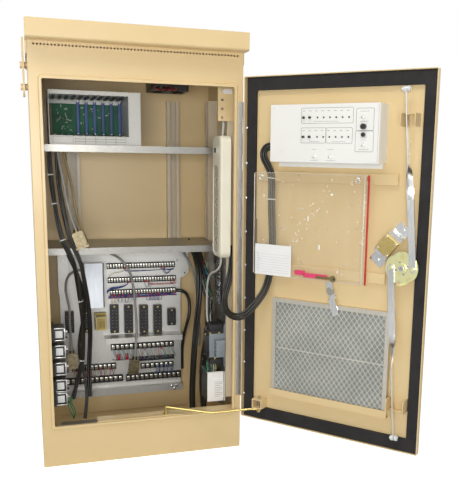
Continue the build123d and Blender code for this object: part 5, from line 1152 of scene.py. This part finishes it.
@piece("door", LEAF, "dark_rocker", zip_red)
def pouch_zip(bm):
    """Red zip: a row of small teeth on its tape, and its slider at the top."""
    bar(bm, 412.5, 417.8, 13.4, 15.6, POUCH_Z0, POUCH_Z1, 0, 0.5)
    for number in range(int((POUCH_Z1 - POUCH_Z0 - 24) / 3)):
        z = POUCH_Z0 + 2 + number * 3
        bar(bm, 413.4, 416.9, 15.4, 16.4, z, z + 1.9, 0)
    bar(bm, 411.4, 419.0, 15.4, 18.6, POUCH_Z1 - 16, POUCH_Z1 - 4, 0, 1.2)


@piece("door", LEAF, "clear_vinyl", vinyl_glint_white)
def pouch_painted_glints(bm):
    """Small milky white marks over the vinyl, most near its middle and its seam: painted glints of its
    creases.
    """
    draw = random.Random(21)
    marks = []
    for number in range(26):
        share = number / 25
        marks.append((300 - 150 * share + draw.uniform(-14, 14), 846 - 200 * share + draw.uniform(-12, 12)))
    marks += [(draw.uniform(60, 400), draw.uniform(590, 870)) for _ in range(34)]
    marks += [(404 + draw.uniform(-3, 3), 830 - 9 * number) for number in range(16)]
    for s, z in marks:
        long = draw.uniform(1.5, 6.5)
        turn = Matrix.Translation((s, GLINT_OFF, z)) @ Matrix.Rotation(draw.uniform(0.3, 2.6), 4, "Y")
        made = bmesh.ops.create_icosphere(bm, subdivisions=1, radius=1.0)["verts"]
        bmesh.ops.scale(bm, vec=(long, 0.22, draw.uniform(0.5, 1.3)), verts=made)
        bmesh.ops.transform(bm, matrix=turn, verts=made)
    for s, z, wide, tall in ((305, 828, 4.5, 3.2), (232, 756, 2.2, 9), (270, 676, 3.0, 8), (330, 610, 2, 5)):
        made = bmesh.ops.create_icosphere(bm, subdivisions=2, radius=1.0)["verts"]
        bmesh.ops.scale(bm, vec=(wide, 0.25, tall), verts=made)
        bmesh.ops.translate(bm, vec=(s, GLINT_OFF, z), verts=made)


@piece("door", LEAF, "clear_vinyl", weld_pale, weld_dark)
def pouch_welds(bm):
    """Welded edges: a pale band beside the zip, a darker one at the left, thin hems all round."""
    bar(bm, 401.5, 405.5, 15.4, 16.2, POUCH_Z0 + 2, POUCH_Z1 - 2, 0, 0.3)
    bar(bm, POUCH_S0, POUCH_S0 + 2, 13.6, 16.0, POUCH_Z0 + 3, POUCH_Z1 - 3, 0, 0.4)
    bar(bm, POUCH_S0 + 4, POUCH_S0 + 11, 13.8, 15.6, POUCH_Z0 + 3, 745, 1, 0.4)
    for z in (POUCH_Z0, POUCH_Z1 - 1.6):
        bar(bm, POUCH_S0 + 4, POUCH_S1 - 3, 13.6, 15.8, z, z + 1.6, 0, 0.4)


@piece("door", LEAF, "zinc", zinc, nickel)
def pouch_studs(bm):
    """Studs on the rail that carry the pouch's rings, each with its washer."""
    for s in RING_S:
        stud(bm, s, 874.5, 19.6, 5.2, 2.4, 0, 16)
        stud(bm, s, 874.5, 16.4, 13.4, 5.4, 1, 24)


for made in (rings, pouch_sheets, pouch_zip):
    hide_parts("document_pouch")


# Card, tags and key: a white record card with ruled lines, two pink paper tags and a dark brass
# key, all lying in front of the pouch's lower edge.
tag_pink = moulded("tag_pink", (0.78, 0.07, 0.18), (0.7, 0.05, 0.14), 0.6)
key_brass = drawn_metal("key_brass", (0.34, 0.27, 0.12), (0.24, 0.19, 0.08), 0.34, 80.0)
ruled = moulded("ruled_line", (0.56, 0.58, 0.62), (0.5, 0.52, 0.56), 0.8)
CARD_LINE = 17.55, 17.68
dress("pouch_papers", paper, tag_pink, key_brass)
dress_where("pouch_papers", 1, lambda centre: 190 < (LEAF.inverted() @ centre).x)
dress_where("pouch_papers", 2, lambda centre: (LEAF.inverted() @ centre).y > 17.95)


@piece("door", LEAF, "paper", ruled)
def card_lines(bm):
    for row in range(8):
        bar(bm, 64, 172, *CARD_LINE, 589 + row * 7.6, 589.7 + row * 7.6, 0)
        bar(bm, 62, 68 + (row * 5) % 7, *CARD_LINE, 591 + row * 7.6, 592.6 + row * 7.6, 0)


@piece("door", LEAF, "black_plastic", black_moulding)
def tag_holes(bm):
    for s, z in ((222, 592), (265, 592)):
        stud(bm, s, z, 17.9, 17.6, 2.0, 0, 14)
    stud(bm, 322, 589, 20.45, 20.1, 2.8, 0, 14)


# Air filter: expanded metal over a grey fibre pad, in a folded aluminium frame that stands in its
# channel and is held by the turn clip.
media = moulded("filter_media", (0.31, 0.32, 0.29), (0.25, 0.262, 0.24), 0.9, 160.0, 0.5)
mesh_pale = moulded("expanded_metal", (0.7, 0.69, 0.62), (0.6, 0.59, 0.53), 0.4, 300.0, 0.04)
MESH_S0, MESH_S1, MESH_Z0, MESH_Z1 = 129.0, 483.0, 225.0, 501.0
MESH_OFF = 12.2
DIAMOND_W, DIAMOND_H = 16.2, 21.5
dress("filter_frame", champagne)
dress("filter_media", media)


@piece("door", LEAF, "aluminium", mesh_pale)
def expanded_metal(bm):
    """Two sets of slanted strands that cross as diamonds, and the stiffening wire across them."""
    slope = DIAMOND_H / DIAMOND_W
    for lean in (1, -1):
        first = MESH_Z0 - slope * (MESH_S1 - MESH_S0) if lean > 0 else MESH_Z0
        last = MESH_Z1 if lean > 0 else MESH_Z1 + slope * (MESH_S1 - MESH_S0)
        for number in range(int((last - first) / DIAMOND_H) + 1):
            rise = first + number * DIAMOND_H
            ends = sorted((lean * (z - rise) / slope for z in (MESH_Z0, MESH_Z1)))
            s0 = max(0.0, ends[0])
            s1 = min(MESH_S1 - MESH_S0, ends[1])
            if s1 - s0 < 1.0:
                continue
            middle = (s0 + s1) / 2
            length = (s1 - s0) * math.hypot(1, slope)
            strand = bmesh.ops.create_cube(bm, size=1.0)["verts"]
            bmesh.ops.scale(bm, vec=(length, 0.9, 1.45), verts=strand)
            lie = Matrix.Translation((MESH_S0 + middle, MESH_OFF + 0.25 * lean, rise + lean * slope * middle))
            turn = Matrix.Rotation(-lean * math.atan(slope), 4, "Y")
            bmesh.ops.transform(bm, matrix=lie @ turn, verts=strand)
    bar(bm, MESH_S0, MESH_S1, 12.6, 13.9, 358.2, 360.8, 0, 0.3)
